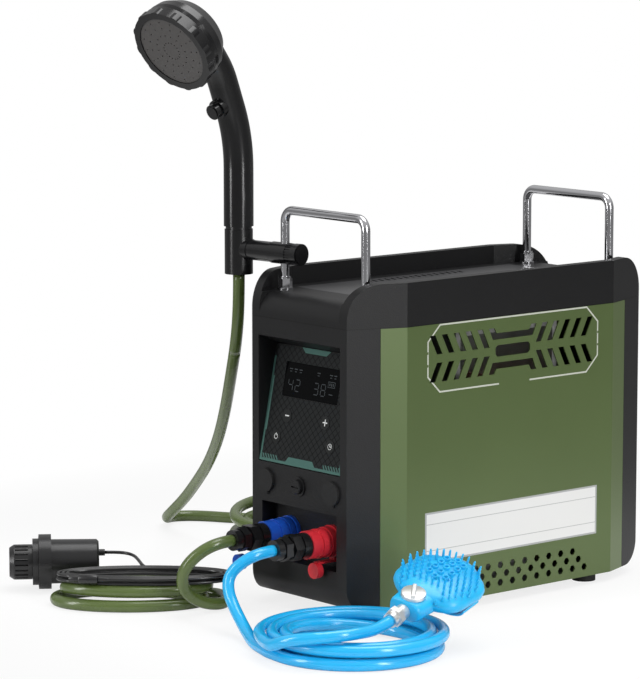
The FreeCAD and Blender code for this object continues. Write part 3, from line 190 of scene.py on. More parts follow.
def lay_line(name, points):
    """The line a hose takes: a smooth spline pulled by its route's own points."""
    route = bpy.data.curves.new(name + "_line", "CURVE")
    route.dimensions = "3D"
    route.resolution_u = 10
    spline = route.splines.new("NURBS")
    spline.points.add(len(points) - 1)
    for spot, place in zip(spline.points, points):
        spot.co = (place[0] / 1000.0, place[1] / 1000.0, place[2] / 1000.0, 1.0)
    spline.order_u = 3
    spline.use_endpoint_u = True
    holder = bpy.data.objects.new(name + "_line", route)
    bpy.context.collection.objects.link(holder)
    bpy.context.view_layer.update()
    sampled = bpy.data.meshes.new_from_object(holder)
    path = [v.co.copy() for v in sampled.vertices]
    bpy.data.objects.remove(holder)
    return path


def sweep(name, path, outline):
    """A tube along the path; outline gives the section's points for a place along it."""
    tangents = []
    for i in range(len(path)):
        ahead = path[min(i + 1, len(path) - 1)] - path[max(i - 1, 0)]
        tangents.append(ahead.normalized())
    side = tangents[0].orthogonal().normalized()
    vertices, faces = [], []
    count = len(outline(0.0))
    along = 0.0
    for i, place in enumerate(path):
        if i:
            side = tangents[i - 1].rotation_difference(tangents[i]) @ side
            along += (path[i] - path[i - 1]).length
        up = tangents[i].cross(side).normalized()
        vertices += [place + side * a + up * b for a, b in outline(along)]
    for i in range(len(path) - 1):
        for k in range(count):
            a, b = i * count + k, i * count + (k + 1) % count
            faces.append((a, b, b + count, a + count))
    faces.append(tuple(range(count))[::-1])
    last = (len(path) - 1) * count
    faces.append(tuple(range(last, last + count)))
    return mesh_piece(name, vertices, faces, smooth=True)


def round_section(radius, sides=20):
    ring = [(radius * math.cos(2 * math.pi * k / sides), radius * math.sin(2 * math.pi * k / sides))
            for k in range(sides)]
    return lambda along: ring


def coil_points(centre, long, wide, floor, turns, start, way, step, quarters, last=99, lift=0.0):
    """A two-layer coil that spirals in, climbs in half a turn and spirals out again."""
    turn = math.radians(49.7)
    sight = Vector((math.cos(turn), math.sin(turn), 0.0))
    away = Vector((-sight.y, sight.x, 0.0))
    inward = turns * 4

    def place_at(quarter):
        angle = math.radians(start) + way * quarter * math.pi / 2
        rise = 0.0
        if quarter <= inward:
            drawn = step * quarter / 4.0
        elif quarter <= inward + 2:
            share = (quarter - inward) / 2.0
            drawn = step * turns + step / (2 * math.pi) * math.sin(math.pi * share)
            rise = step * (1 - math.cos(math.pi * share)) / 2.0
        else:
            drawn = step * turns - step * (quarter - inward - 2) / 4.0
            rise = step
        if quarter > last - 2:
            rise = rise + lift * (1 - math.cos(math.pi * (quarter - last + 2) / 2.0)) / 2.0
        flat = sight * ((long - drawn) * math.cos(angle)) + away * ((wide - drawn) * math.sin(angle))
        return Vector((centre[0], centre[1], floor + rise)) + flat

    points = [place_at(quarters * i / (quarters * 4.0)) for i in range(int(quarters * 4) + 1)]
    first = (place_at(-0.01) - place_at(0.01)).normalized()
    last_way = (place_at(quarters + 0.01) - place_at(quarters - 0.01)).normalized()
    return points, first, last_way


hose_radius = 5.75
wash_radius = 5.5
lead_radius = 1.6
bed = 0.1

coil, coil_in, coil_out = coil_points((-274.0, 33.0), 72.0, 72.0, hose_radius + bed, 2, 90.0, -1, 12.3,
                                      16, 16, 13.5)
shower_route = [
    (-117.4, -166.35, 308.5), (-117.4, -166.35, 278.5), (-129.0, -160.5, 240.0), (-152.0, -149.0, 202.0),
    (-186.0, -129.0, 162.0), (-229.0, -104.0, 124.0), (-278.0, -78.0, 90.0), (-324.0, -58.0, 61.0),
    (-357.0, -47.0, 39.0), (-385.0, -41.0, 21.0), (-409.0, -32.0, 8.5), (-424.0, -10.0, 5.85),
    (-410.0, 12.0, 5.85), coil[0] + coil_in * 57.5, coil[0] + coil_in * 11.5]
shower_path = lay_line("shower_hose", shower_route + coil + [coil[-1] + coil_out * 11.5])
under_clip = next(i for i, place in enumerate(shower_path) if place.z < 0.230)
shower_hose = sweep("shower_hose_tube", shower_path[under_clip:], round_section(hose_radius / 1000.0))
shower_hose_end = sweep("shower_hose_end", shower_path[:under_clip + 1], round_section(hose_radius / 1000.0))
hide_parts("shower_hose", "shower_hose_coil")
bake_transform(shower_hose)
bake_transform(shower_hose_end)
shower_path[:under_clip + 1]

hank, hank_in, hank_out = coil_points((-128.0, -288.0), 80.0, 44.0, hose_radius + bed, 1, 45.0, 1, 13.2, 8)
turn = math.radians(235.0)
pump_axis = Vector((math.cos(turn), math.sin(turn), 0.0))
barb = Vector((-239.0, -311.0, 14.0)) - pump_axis * 62.0
pump_route = [
    (-30.5, -246.0, 71.5), (-30.5, -262.0, 71.5), (-38.0, -277.0, 64.0), (-47.0, -287.0, 51.0),
    (-54.0, -288.0, 37.0), (-57.0, -281.0, 23.0), (-56.0, -266.0, 12.0), (-54.0, -248.0, 6.8),
    (-59.0, -229.0, 5.85), hank[0] + hank_in * 31.5, hank[0] + hank_in * 11.5]
pump_end = [hank[-1] + hank_out * 11.5, hank[-1] + hank_out * 27.5, (-155.0, -243.0, 17.5),
            (-173.0, -233.0, 15.5), barb - pump_axis * 25.0, barb]
pump_path = lay_line("pump_hose", pump_route + hank + pump_end)
pump_hose = sweep("pump_hose_tube", pump_path, round_section(hose_radius / 1000.0))
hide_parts("pump_hose", "pump_hose_hank", "pump_hose_tail")
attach(pump_hose, "heater")

pool, pool_in, pool_out = coil_points((152.0, -252.0), 82.0, 82.0, wash_radius + bed, 1.5, 200.3, 1, 11.8, 16)
neck = Vector((0.19, -0.945, -0.265)).normalized()
brush_face = Vector((0.358, -0.304, 0.883))
brush_face = (brush_face - neck * brush_face.dot(neck)).normalized()
brush_at = Vector((185.0, -184.0, 56.0))
mouth = brush_at + neck * 71.0 - brush_face * 2.0
wash_route = [
    (30.5, -246.0, 71.5), (30.5, -262.0, 71.5), (23.0, -277.0, 64.0), (15.0, -286.0, 52.0),
    (19.0, -291.0, 39.0), (30.0, -293.0, 26.0), (46.0, -297.0, 15.0), (64.0, -304.0, 8.0),
    pool[0] + pool_in * 37.0, pool[0] + pool_in * 11.0]
wash_end = [pool[-1] + pool_out * 11.0, pool[-1] + pool_out * 25.0, (162.0, -342.0, 24.5),
            (181.0, -333.0, 28.6), (194.0, -317.0, 30.0), (202.0, -299.0, 31.0), mouth + neck * 18.0, mouth]
wash_path = lay_line("wash_hose", wash_route + pool + wash_end)
wash_hose = sweep("wash_hose_tube", wash_path, round_section(wash_radius / 1000.0))
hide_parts("wash_hose", "wash_hose_coil", "wash_hose_tail")
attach(wash_hose, "heater")

lead_floor = hose_radius * 4 + 1.8 + lead_radius
bundle, bundle_in, bundle_out = coil_points((-120.0, -282.0), 86.0, 32.0, lead_floor, 3, 70.0, -1, 4.4, 26)
gland = Vector((-239.0, -311.0, 35.0)) - pump_axis * 58.0
lead_route = [gland, gland - pump_axis * 15.0, (-183.0, -246.0, 34.0), (-166.0, -252.0, 31.5),
              (-150.0, -259.0, 29.0), bundle[0] + bundle_in * 19.2, bundle[0] + bundle_in * 3.2]
lead_path = lay_line("pump_lead", lead_route + bundle + [bundle[-1] + bundle_out * 3.2])
pump_lead = sweep("pump_lead_tube", lead_path, round_section(lead_radius / 1000.0, 12))
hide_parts("pump_lead", "pump_lead_hank")
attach(pump_lead, "heater")


def turned(name, profile, at, axis, sides=40, smooth=True):
    """A lathe-turned piece: profile points are (radius, height) in millimetres along the axis."""
    lie = Vector((0.0, 0.0, 1.0)).rotation_difference(axis.normalized())
    vertices, faces = [], []
    for radius, height in profile:
        for k in range(sides):
            angle = 2 * math.pi * k / sides
            spot = Vector((radius * math.cos(angle), radius * math.sin(angle), height)) / 1000.0
            vertices.append(lie @ spot + at)
    for i in range(len(profile) - 1):
        for k in range(sides):
            a, b = i * sides + k, i * sides + (k + 1) % sides
            faces.append((a, b, b + sides, a + sides))
    faces.append(tuple(range(sides))[::-1])
    last = (len(profile) - 1) * sides
    faces.append(tuple(range(last, last + sides)))
    piece = mesh_piece(name, vertices, faces, smooth)
    if smooth:
        piece.data.set_sharp_from_angle(angle=math.radians(35.0))
    return piece


plug_at = lead_path[-1] - bundle_out / 1000.0
lead_plug = turned("lead_plug", [(1.9, 0), (2.2, 3), (2.2, 9), (4.2, 10), (4.8, 12), (4.8, 27), (4.3, 28),
                                 (2.8, 28.2), (2.8, 37), (2.4, 37.6)], plug_at, bundle_out)
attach(lead_plug, "heater")


def vinyl(name, colour, dark, roughness):
    """Extruded vinyl: a little darker and duller in soft patches, with faint drag marks."""
    skin = Finish(name, colour, roughness, coat=0.35, shine=0.45)
    skin.shader.inputs["Coat Roughness"].default_value = 0.12
    patches = skin.noise(35.0, 3.0)
    skin.colour(skin.blend(patches, colour, dark))
    skin.roughness(roughness - 0.06 + patches * 0.14)
    skin.bump(skin.noise(260.0, 2.0), 0.00010, 0.3)
    return skin


vinyl("olive_vinyl", (0.098, 0.140, 0.034), (0.070, 0.104, 0.025), 0.26).on(
    shower_hose, shower_hose_end, pump_hose)
vinyl("blue_vinyl", (0.012, 0.440, 0.800), (0.008, 0.370, 0.740), 0.22).on(wash_hose)
vinyl("lead_sheath", (0.007, 0.007, 0.008), (0.004, 0.004, 0.004), 0.28).on(pump_lead, lead_plug)


# Front cap, rear cap and top cover: injection-moulded black nylon with a fine spark-eroded grain.
# They clip over the side panels with a shadow gap and carry the handles and the controls.
def moulded(name, colour, roughness, grain=900.0, depth=0.00012, shine=0.3, coat=0.0):
    """Moulded plastic: fine grain, faint cloudiness and slightly rubbed patches."""
    skin = Finish(name, colour, roughness, coat=coat, shine=shine)
    cloud = skin.noise(14.0, 4.0)
    pale = tuple(c * 1.35 + 0.001 for c in colour)
    skin.colour(skin.blend(cloud, colour, pale))
    skin.roughness(roughness - 0.05 + cloud * 0.12)
    skin.bump(skin.specks(grain) + skin.noise(grain * 0.4, 2.0) * 0.6, depth, 0.6)
    return skin


nylon_black = (0.0055, 0.0055, 0.0060)
moulded("black_nylon", nylon_black, 0.40).on(node["front_cap"], node["rear_cap"])
cover_nylon = moulded("black_nylon_cover", nylon_black, 0.40)
cover_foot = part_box("top_cover")[0][2]
# The cover's lowest 0.9 mm is painted almost pure black: painted shade of the shadow gap under its edge.
gap_shade_height = 0.0009
gap_shade = cover_nylon.z < cover_foot + gap_shade_height
cover_nylon.colour(cover_nylon.blend(gap_shade, (0.0060, 0.0060, 0.0065), (0.0003, 0.0003, 0.0003)))
cover_nylon.on(node["top_cover"])


# Side panels: pressed sheet steel in olive powder coat, with vent slots and hexagonal holes cut through.
# A fine pale line is printed round the vent, and a plain pale plate is stuck on near the foot.
panel_paint = Finish("olive_powder_coat", (0.085, 0.122, 0.036), 0.36, metallic=0.30, coat=0.15)
outer_face = 0.0886
vent_middle_y, vent_middle_z = 0.00225, 0.2425
line_half = 0.00075
outer = abs(panel_paint.x) > outer_face
vent_y = abs(panel_paint.y - vent_middle_y)
vent_z = abs(panel_paint.z - vent_middle_z)
vent_edge = (vent_y - 0.1105).most(vent_z - 0.0315).most((vent_y + vent_z - 0.1270) * 0.7071)
foot_break = (vent_y < 0.020) * (panel_paint.z < vent_middle_z)
side_breaks = (abs(vent_z - 0.006) < 0.0012) * (vent_y > 0.11)
breaks = foot_break.most(side_breaks)
vent_line = (abs(vent_edge) < line_half) * outer * (1.0 - breaks)
plate_middle_y, plate_middle_z, plate_half_y, plate_half_z = 0.0015, 0.0740, 0.1125, 0.0240
plate_y = abs(panel_paint.y - plate_middle_y)
plate_z = abs(panel_paint.z - plate_middle_z)
label = (plate_y < plate_half_y) * (plate_z < plate_half_z) * outer
rule = abs(plate_z - 0.0125) < 0.0003
border = label * ((plate_y > 0.1105) + (plate_z > 0.0222) + rule).least(1.0)
peel = panel_paint.noise(600.0, 2.0)
shade = panel_paint.noise(9.0, 3.0)
paint = panel_paint.blend(shade, (0.080, 0.118, 0.036), (0.094, 0.137, 0.044))
paint = panel_paint.blend(label, paint, (0.70, 0.70, 0.69))
paint = panel_paint.blend(border, paint, (0.36, 0.37, 0.37))
paint = panel_paint.blend(vent_line, paint, (0.62, 0.64, 0.56))
panel_paint.colour(paint)
panel_paint.metallic(0.30 - label * 0.30)
panel_paint.roughness(0.32 + shade * 0.08 + label * 0.15)
panel_paint.bump(peel, 0.00010, 0.4)
panel_paint.on(node["right_panel"], node["left_panel"])


# Top plate and base plate: satin black sheet steel, folded and screwed under the covers.
# The top plate is the tray's slotted floor.
moulded("satin_black_steel", (0.036, 0.036, 0.038), 0.32, 700.0, 0.00008, 0.6).on(
    node["top_plate"], node["base_plate"])


# Feet and socket covers: moulded black rubber, matt, with the dust that rubber picks up.
# The feet are screwed to the base plate, and each cover hangs on a thin hinge of its own rubber.
rubber = Finish("black_rubber", (0.010, 0.010, 0.011), 0.60, shine=0.3)
dust = rubber.noise(70.0, 5.0)
rubber.colour(rubber.blend(dust, (0.008, 0.008, 0.008), (0.018, 0.018, 0.018)))
rubber.roughness(0.55 + dust * 0.2)
rubber.bump(rubber.specks(1200.0), 0.0001, 0.4)
rubber.on(node["feet"], node["pump_socket_cover"], node["power_socket_cover"])


# Handles: bent steel rod, polished and chrome plated.
# Each post is held in the top cover by a turned collar.
chrome = Finish("chrome_plate", (0.56, 0.56, 0.58), 0.06, metallic=1.0)
swirl = chrome.noise(300.0, 3.0)
chrome.roughness(0.05 + swirl * 0.07)
chrome.bump(swirl, 0.00003, 0.2)
chrome.on(node["front_handle"], node["rear_handle"], node["handle_collars"])


# Control plate: black printed film on a sloped plate, edged in dark teal, with a diamond lattice.
# The film is stuck over the plate, and the display and the keys come through it.
film = Finish("printed_film", (0.010, 0.011, 0.011), 0.40, shine=0.12)
plate_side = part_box("control_plate")[1][0]
plate_tall = 0.1126
film_foot_y, film_foot_z = -0.190, 0.1376
up = (film.z - film_foot_z) * 0.981 + (film.y - film_foot_y) * 0.196
down = plate_tall - up
across = abs(film.x)
strip = (across > plate_side - 0.0026) * (up < plate_tall - 0.012)
strip = strip.most((across > plate_side - 0.0042) * (up > 0.030) * (up < 0.082))
sill = up < 0.0036
wedge = ((across + up * 0.8) < 0.0240) * (up < 0.0085)
tab = ((across + down * 1.2) < 0.0210) * (down < 0.0050)
ticks = ((film.x + up * 0.7).wave(0.0038) > 0.27) * (up < 0.0078) * (across > plate_side - 0.026)
lattice = ((film.x + up).wave(0.0078) > 0.435).most((film.x - up).wave(0.0078) > 0.435)
teal = (0.070, 0.150, 0.130)
ink = film.blend(lattice, (0.0200, 0.0215, 0.0220), (0.0020, 0.0022, 0.0022))
ink = film.blend(strip.most(sill).most(tab).most(wedge).most(ticks), ink, teal)
film.colour(ink)
film.roughness(0.30 + film.noise(60.0, 3.0) * 0.10)
film.bump(lattice, 0.00006, 0.4)
film.on(node["control_plate"])


# Display and keys: a smoked acrylic window over dim grey segment digits, and four domed rubber keys.
# The digits are printed behind the window and the signs on top of the keys.
glass = Finish("smoked_acrylic", (0.0020, 0.0022, 0.0025), 0.12, shine=0.10)
smear = glass.noise(40.0, 4.0)
glass.roughness(0.05 + smear * 0.08)
glass.on(node["display_lens"])
key_skin = moulded("key_silicone", (0.0085, 0.0095, 0.0095), 0.38, 1500.0, 0.00005)
for key in ("key_minus", "key_plus", "key_power", "key_timer"):
    key_skin.on(node[key])

slope = math.radians(11.3)
up_slope = Vector((0.0, math.sin(slope), math.cos(slope)))
out_slope = Vector((0.0, -math.cos(slope), math.sin(slope)))


def slope_top(piece):
    """How far a piece of the sloped panel stands out, along the slope's own normal."""
    return max(Vector(v.co).dot(out_slope) for v in piece.data.vertices)


def slope_mark(name, bars, middle, lift):
    """Flat printed bars on the slope: each is (x, up, half width, half height, lean)."""
    vertices, faces = [], []
    for x, up_by, half_x, half_up, lean in bars:
        corners = ((-half_x, -half_up), (half_x, -half_up), (half_x, half_up), (-half_x, half_up))
        start = len(vertices)
        for a, b in corners:
            c = math.cos(lean)
            s = math.sin(lean)
            flat = (x + a * c - b * s, up_by + a * s + b * c)
            vertices.append(middle + (Vector((flat[0], 0, 0)) + up_slope * flat[1]) / 1000.0 + out_slope * lift)
        faces.append((start, start + 1, start + 2, start + 3))
    return mesh_piece(name, vertices, faces)


segments = {"a": (0, 1, 1), "b": (1, 0.5, 0), "c": (1, -0.5, 0), "d": (0, -1, 1), "e": (-1, -0.5, 0),
            "f": (-1, 0.5, 0), "g": (0, 0, 1)}
digit_segments = {"4": "bcfg", "2": "abdeg", "3": "abcdg", "8": "abcdefg", "0": "abcdef", "5": "acdfg"}


def digit_bars(figure, x, up_by, half_wide, half_tall, stroke):
    bars = []
    for segment in digit_segments[figure]:
        side, level, lying = segments[segment]
        if lying:
            bars.append((x + 0, up_by + level * half_tall, half_wide - stroke * 0.8, stroke / 2, 0.0))
        else:
            bars.append((x + side * half_wide, up_by + level * half_tall, stroke / 2,
                         half_tall / 2 - stroke * 0.7, 0.0))
    return bars


lens_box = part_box("display_lens")
lens_middle = (Vector(lens_box[0]) + Vector(lens_box[1])) / 2
lens_middle = lens_middle + out_slope * (slope_top(node["display_lens"]) - lens_middle.dot(out_slope))
readout = []
for figure, x in (("4", -30.0), ("2", -20.0), ("3", 7.0), ("8", 17.0)):
    readout += digit_bars(figure, x, -5.0, 3.1, 5.4, 0.9)
for x in (-32.0, -25.0, -18.0, 8.0, 26.0, 32.0):
    readout.append((x, 10.0, 2.2, 0.5, 0.0))
    readout.append((x, 7.6, 1.4, 0.4, 0.0))
readout += [(28.0, 3.8, 5.0, 0.3, 0.0), (28.0, -1.2, 5.0, 0.3, 0.0), (23.2, 1.3, 0.3, 2.5, 0.0),
            (32.8, 1.3, 0.3, 2.5, 0.0), (25.6, 1.3, 0.7, 1.3, 0.0), (28.0, 1.3, 0.7, 1.3, 0.0),
            (30.4, 1.3, 0.7, 1.3, 0.0), (28.5, -8.0, 2.6, 0.4, 0.0)]
digits = slope_mark("display_digits", readout, lens_middle, 0.00006)
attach(digits, "heater")
lit = Finish("segment_grey", (0.06, 0.07, 0.08), 0.25)
lit.colour(lit.blend(lit.noise(500.0), (0.032, 0.038, 0.042), (0.048, 0.055, 0.060)))
lit.on(digits)

key_print = Finish("key_print", (0.55, 0.57, 0.56), 0.45)
key_print.colour(key_print.blend(key_print.noise(900.0), (0.70, 0.72, 0.71), (0.82, 0.84, 0.83)))
ring_bars = [(2.3 * math.cos(a), 2.3 * math.sin(a), 0.55, 0.25, a + math.pi / 2)
             for a in [math.radians(120 + 25 * i) for i in range(13)]]
marks = {"key_minus": [(0, 0, 2.9, 0.55, 0.0)], "key_plus": [(0, 0, 3.2, 0.6, 0.0), (0, 0, 0.6, 3.2, 0.0)],
         "key_power": ring_bars + [(0, 2.0, 0.3, 1.4, 0.0)],
         "key_timer": [(0, 1.0, 0.3, 1.2, 0.0), (0.9, 0, 1.1, 0.3, 0.0)]
         + [(2.6 * math.cos(a), 2.6 * math.sin(a), 0.75, 0.25, a + math.pi / 2)
            for a in [math.radians(22.5 * i) for i in range(16)]]}
for key, bars in marks.items():
    low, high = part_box(key)
    middle = (Vector(low) + Vector(high)) / 2
    middle = middle + out_slope * (slope_top(node[key]) - middle.dot(out_slope))
    mark = slope_mark(key + "_mark", bars, middle, 0.00005)
    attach(mark, key)
    key_print.on(mark)


# Control board, sockets and fuse: a green circuit board behind the panel, and black moulded fittings.
# The sockets and the fuse holder are set in the front cap under the control plate.
board = Finish("circuit_board", (0.02, 0.10, 0.05), 0.45)
tracks = (board.x.wave(0.004) > 0.42).most(board.z.wave(0.006) > 0.44)
board.colour(board.blend(tracks, (0.015, 0.085, 0.040), (0.05, 0.18, 0.08)))
board.on(node["control_board"])
moulded("fitting_black", (0.006, 0.006, 0.0065), 0.34, 1300.0, 0.00006).on(
    node["panel_sockets"], node["fuse_holder"], node["fuse_cap"], node["flow_switch"])


# Water fittings: machined brass nipples behind moulded collars, blue for cold and red for hot,
# each with a dust cap on a strap, and black quick couplings with gripping flats.
brass = Finish("machined_brass", (0.55, 0.40, 0.16), 0.30, metallic=1.0)
rings = brass.noise(120.0, 3.0)
brass.roughness(0.22 + rings * 0.18)
brass.colour(brass.blend(rings, (0.50, 0.36, 0.14), (0.62, 0.46, 0.20)))
brass.on(node["water_nipples"], node["gas_inlet"], node["gas_valve"])


def collar_plastic(name, colour, deep):
    skin = Finish(name, colour, 0.26, coat=0.3)
    cloud = skin.noise(45.0, 3.0)
    skin.colour(skin.blend(cloud, colour, deep))
    skin.roughness(0.28 + cloud * 0.12)
    skin.bump(skin.specks(1100.0), 0.00008, 0.4)
    return skin


collar_plastic("cold_blue", (0.010, 0.090, 0.520), (0.008, 0.070, 0.440)).on(node["inlet_collar"])
collar_plastic("hot_red", (0.700, 0.030, 0.045), (0.600, 0.022, 0.034)).on(node["outlet_collar"])
moulded("coupling_black", (0.005, 0.005, 0.0055), 0.24, 1200.0, 0.00004, 0.5).on(
    node["inlet_coupling"], node["outlet_coupling"], node["shower_coupling"], node["shower_hose_cone"])


# Inside: aluminised steel burner, combustion chamber and flue hood, with a copper heat exchanger.
# They are stacked on the base plate and show only a little, through the vent.
sheet_steel = Finish("aluminised_steel", (0.50, 0.50, 0.49), 0.40, metallic=1.0)
spangle = sheet_steel.specks(90.0)
sheet_steel.roughness(0.30 + spangle * 0.3)
sheet_steel.colour(sheet_steel.blend(spangle, (0.45, 0.45, 0.44), (0.58, 0.58, 0.57)))
sheet_steel.on(node["burner"], node["combustion_chamber"], node["flue_hood"])
copper = Finish("copper_fins", (0.70, 0.33, 0.20), 0.35, metallic=1.0)
# The gaps between the fins are painted a darker copper, painted shade in the gaps; the bump raises the fins
# themselves.
fins = copper.y.wave(0.003) > 0.3
copper.colour(copper.blend(fins, (0.40, 0.17, 0.10), (0.72, 0.36, 0.22)))
copper.bump(fins, 0.0004, 0.6)
copper.on(node["heat_exchanger"])


# Shower holder: a black moulded arm clamped on the left post of the front handle.
# A knob on its end tightens it, and the clip that holds the hand shower tilts on it.
moulded("holder_black", (0.0040, 0.0040, 0.0045), 0.19, 1100.0, 0.00002, 0.5).on(
    node["holder_arm"], node["holder_knob"], node["holder_clip"])


# Hand shower: moulded gloss black ABS, with a push button in its neck.
# A wavy black adjusting ring turns round a warm grey nozzle plate.
gloss = Finish("gloss_abs", (0.004, 0.004, 0.0045), 0.20, shine=0.5)
flow = gloss.noise(22.0, 3.0)
gloss.roughness(0.13 + flow * 0.08)
gloss.colour(gloss.blend(flow, (0.0035, 0.0035, 0.0040), (0.0060, 0.0060, 0.0065)))
gloss.bump(gloss.noise(500.0, 2.0), 0.00004, 0.3)
gloss.on(node["handset_body"], node["spray_ring"], node["handset_button"])
nozzle = Finish("nozzle_grey", (0.075, 0.072, 0.068), 0.42)
speck = nozzle.noise(300.0, 3.0)
nozzle.colour(nozzle.blend(speck, (0.066, 0.062, 0.060), (0.090, 0.085, 0.082)))
nozzle.roughness(0.36 + speck * 0.15)
nozzle.on(node["spray_plate"])


# Lift pump: satin black nylon body with a flange, moulded in one piece.
# A slotted strainer of the same nylon twists off its end.
moulded("pump_black", (0.0055, 0.0055, 0.0060), 0.28, 900.0, 0.00005, 0.5).on(
    node["pump_body"], node["pump_strainer"])


# Wash brush: a soft sky-blue silicone pad moulded in one piece, with rounded bristles all over its
# domed face and small ring outlets along the middle; a silver knob and a threaded fitting are set
# in its neck, and a palm strap runs from side to side behind it.
across_brush = brush_face.cross(neck)


def on_brush(along, over, height):
    return (brush_at + neck * along + across_brush * over + brush_face * height) / 1000.0


def pad_edge(angle):
    """Half width of the pad's rim in a direction, pinched a little at the neck's sides."""
    return 1.0 + 0.035 * math.cos(6 * angle + 0.6)


pad_rings = [(0.00, -9.0), (0.55, -9.0), (0.86, -8.0), (0.97, -5.0), (1.00, -1.0), (0.98, 2.5), (0.92, 5.0),
             (0.80, 7.6), (0.62, 9.6), (0.40, 10.8), (0.20, 11.3), (0.00, 11.5)]
pad_long, pad_wide, pad_back = 41.0, 40.0, -4.5


def pad_height(share):
    """Height of the domed face at a share of the way out to the rim."""
    for (inner_share, top), (outer_share, low_top) in zip(pad_rings[:4:-1], pad_rings[-2:3:-1]):
        if inner_share <= share <= outer_share:
            mix = (share - inner_share) / (outer_share - inner_share)
            return top + (low_top - top) * mix
    return 4.0


sides = 72
pad_vertices, pad_faces = [], []
for share, height in pad_rings:
    for k in range(sides):
        angle = 2 * math.pi * k / sides
        reach = max(share, 0.002) * pad_edge(angle)
        pad_vertices.append(on_brush(pad_back + pad_long * reach * math.cos(angle),
                                     pad_wide * reach * math.sin(angle), height))
for i in range(len(pad_rings) - 1):
    for k in range(sides):
        a, b = i * sides + k, i * sides + (k + 1) % sides
        pad_faces.append((a, b, b + sides, a + sides))
neck_start = len(pad_vertices)
neck_rings = [(12.0, 21.0, 9.0), (24.0, 19.0, 8.8), (34.0, 17.6, 9.0), (46.0, 16.4, 9.6), (49.5, 15.4, 9.2),
              (50.1, 14.0, 8.2), (50.2, 0.1, 0.1)]
for along, half_wide, half_tall in neck_rings:
    for k in range(sides):
        angle = 2 * math.pi * k / sides
        c, s = math.cos(angle), math.sin(angle)
        squared = 1.0 / (abs(c) ** 3 + abs(s) ** 3) ** (1 / 3)
        pad_vertices.append(on_brush(along, half_wide * c * squared, -1.5 + half_tall * s * squared))
for i in range(len(neck_rings) - 1):
    for k in range(sides):
        a, b = neck_start + i * sides + k, neck_start + i * sides + (k + 1) % sides
        pad_faces.append((a, a + sides, b + sides, b))


def bristle(along, over, foot, tall, radius):
    """One rounded bristle that stands on the pad's face and leans out with its dome."""
    start = len(pad_vertices)
    levels = [(1.35, 0.0), (1.0, 0.16), (0.86, 0.8), (0.7, 0.93), (0.3, 1.0)]
    lean_along = 3.2 * tall / 8.0 * (along - pad_back) / pad_long
    lean_over = 3.2 * tall / 8.0 * over / pad_wide
    for wide, share in levels:
        for k in range(8):
            angle = 2 * math.pi * k / 8
            pad_vertices.append(on_brush(along + lean_along * share + radius * wide * math.cos(angle),
                                         over + lean_over * share + radius * wide * math.sin(angle),
                                         foot - 0.4 + tall * share))
    for i in range(len(levels) - 1):
        for k in range(8):
            a, b = start + i * 8 + k, start + i * 8 + (k + 1) % 8
            pad_faces.append((a, b, b + 8, a + 8))
    pad_faces.append(tuple(start + 32 + k for k in range(8)))


def outlet(along, over, foot):
    """A short open ring round one water outlet."""
    start = len(pad_vertices)
    levels = [(3.5, -0.6), (3.3, 2.2), (3.0, 2.6), (2.3, 2.6), (2.0, 2.2), (1.9, -0.2), (0.1, -0.3)]
    for wide, height in levels:
        for k in range(16):
            angle = 2 * math.pi * k / 16
            pad_vertices.append(on_brush(along + wide * math.cos(angle), over + wide * math.sin(angle),
                                         foot + height))
    for i in range(len(levels) - 1):
        for k in range(16):
            a, b = start + i * 16 + k, start + i * 16 + (k + 1) % 16
            pad_faces.append((a, b, b + 16, a + 16))


outlets = [(-28.0 + 9.2 * i + 4.6 * abs(side), 9.0 * side) for i in range(5) for side in (-1, 0, 1)
           if i < 4 or side == 0]
for along, over in outlets:
    outlet(pad_back + along, over, pad_height(math.hypot(along / pad_long, over / pad_wide)))
for row in range(-7, 8):
    for column in range(-8, 9):
        along = column * 5.6
        over = row * 6.4 + (3.2 if column % 2 else 0.0)
        share = math.hypot(along / pad_long, over / pad_wide)
        if share > 0.96 or (along > 22.0 and abs(over) < 18.0):
            continue
        if min(math.hypot(along - a, over - o) for a, o in outlets) > 5.4:
            bristle(pad_back + along, over, pad_height(share), 6.6, 1.15)
brush_pad = mesh_piece("brush_pad", pad_vertices, pad_faces, smooth=True)
brush_pad.data.set_sharp_from_angle(angle=math.radians(55.0))
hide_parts("brush_body")
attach(brush_pad, "heater")

knob_at = brush_at + neck * 36.5
knob_profile = [(0.1, 8.0), (11.2, 8.0), (11.5, 8.4), (11.5, 10.9), (11.1, 11.7), (10.2, 12.0), (0.1, 12.1)]
knob_disc = turned("water_knob", knob_profile, (knob_at - brush_face * 0.4) / 1000.0, brush_face)
ridge_way = across_brush * 0.5 + neck * 0.866
ridge_side = brush_face.cross(ridge_way)
ridge = [(knob_at + ridge_way * a * half_long + ridge_side * b * half_wide + brush_face * height) / 1000.0
         for half_long, half_wide, height in ((10.4, 2.4, 11.6), (9.672, 1.8, 14.0))
         for a, b in ((-1, -1), (1, -1), (1, 1), (-1, 1))]
knob_ridge = mesh_piece("water_knob_ridge", ridge, [(0, 3, 2, 1), (4, 5, 6, 7), (0, 1, 5, 4), (1, 2, 6, 5),
                                                    (2, 3, 7, 6), (3, 0, 4, 7)])
soften = knob_ridge.modifiers.new("edge", "BEVEL")
soften.width = 0.0005
soften.segments = 3
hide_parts("brush_knob")
for part in (knob_disc, knob_ridge):
    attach(part, "brush_knob")

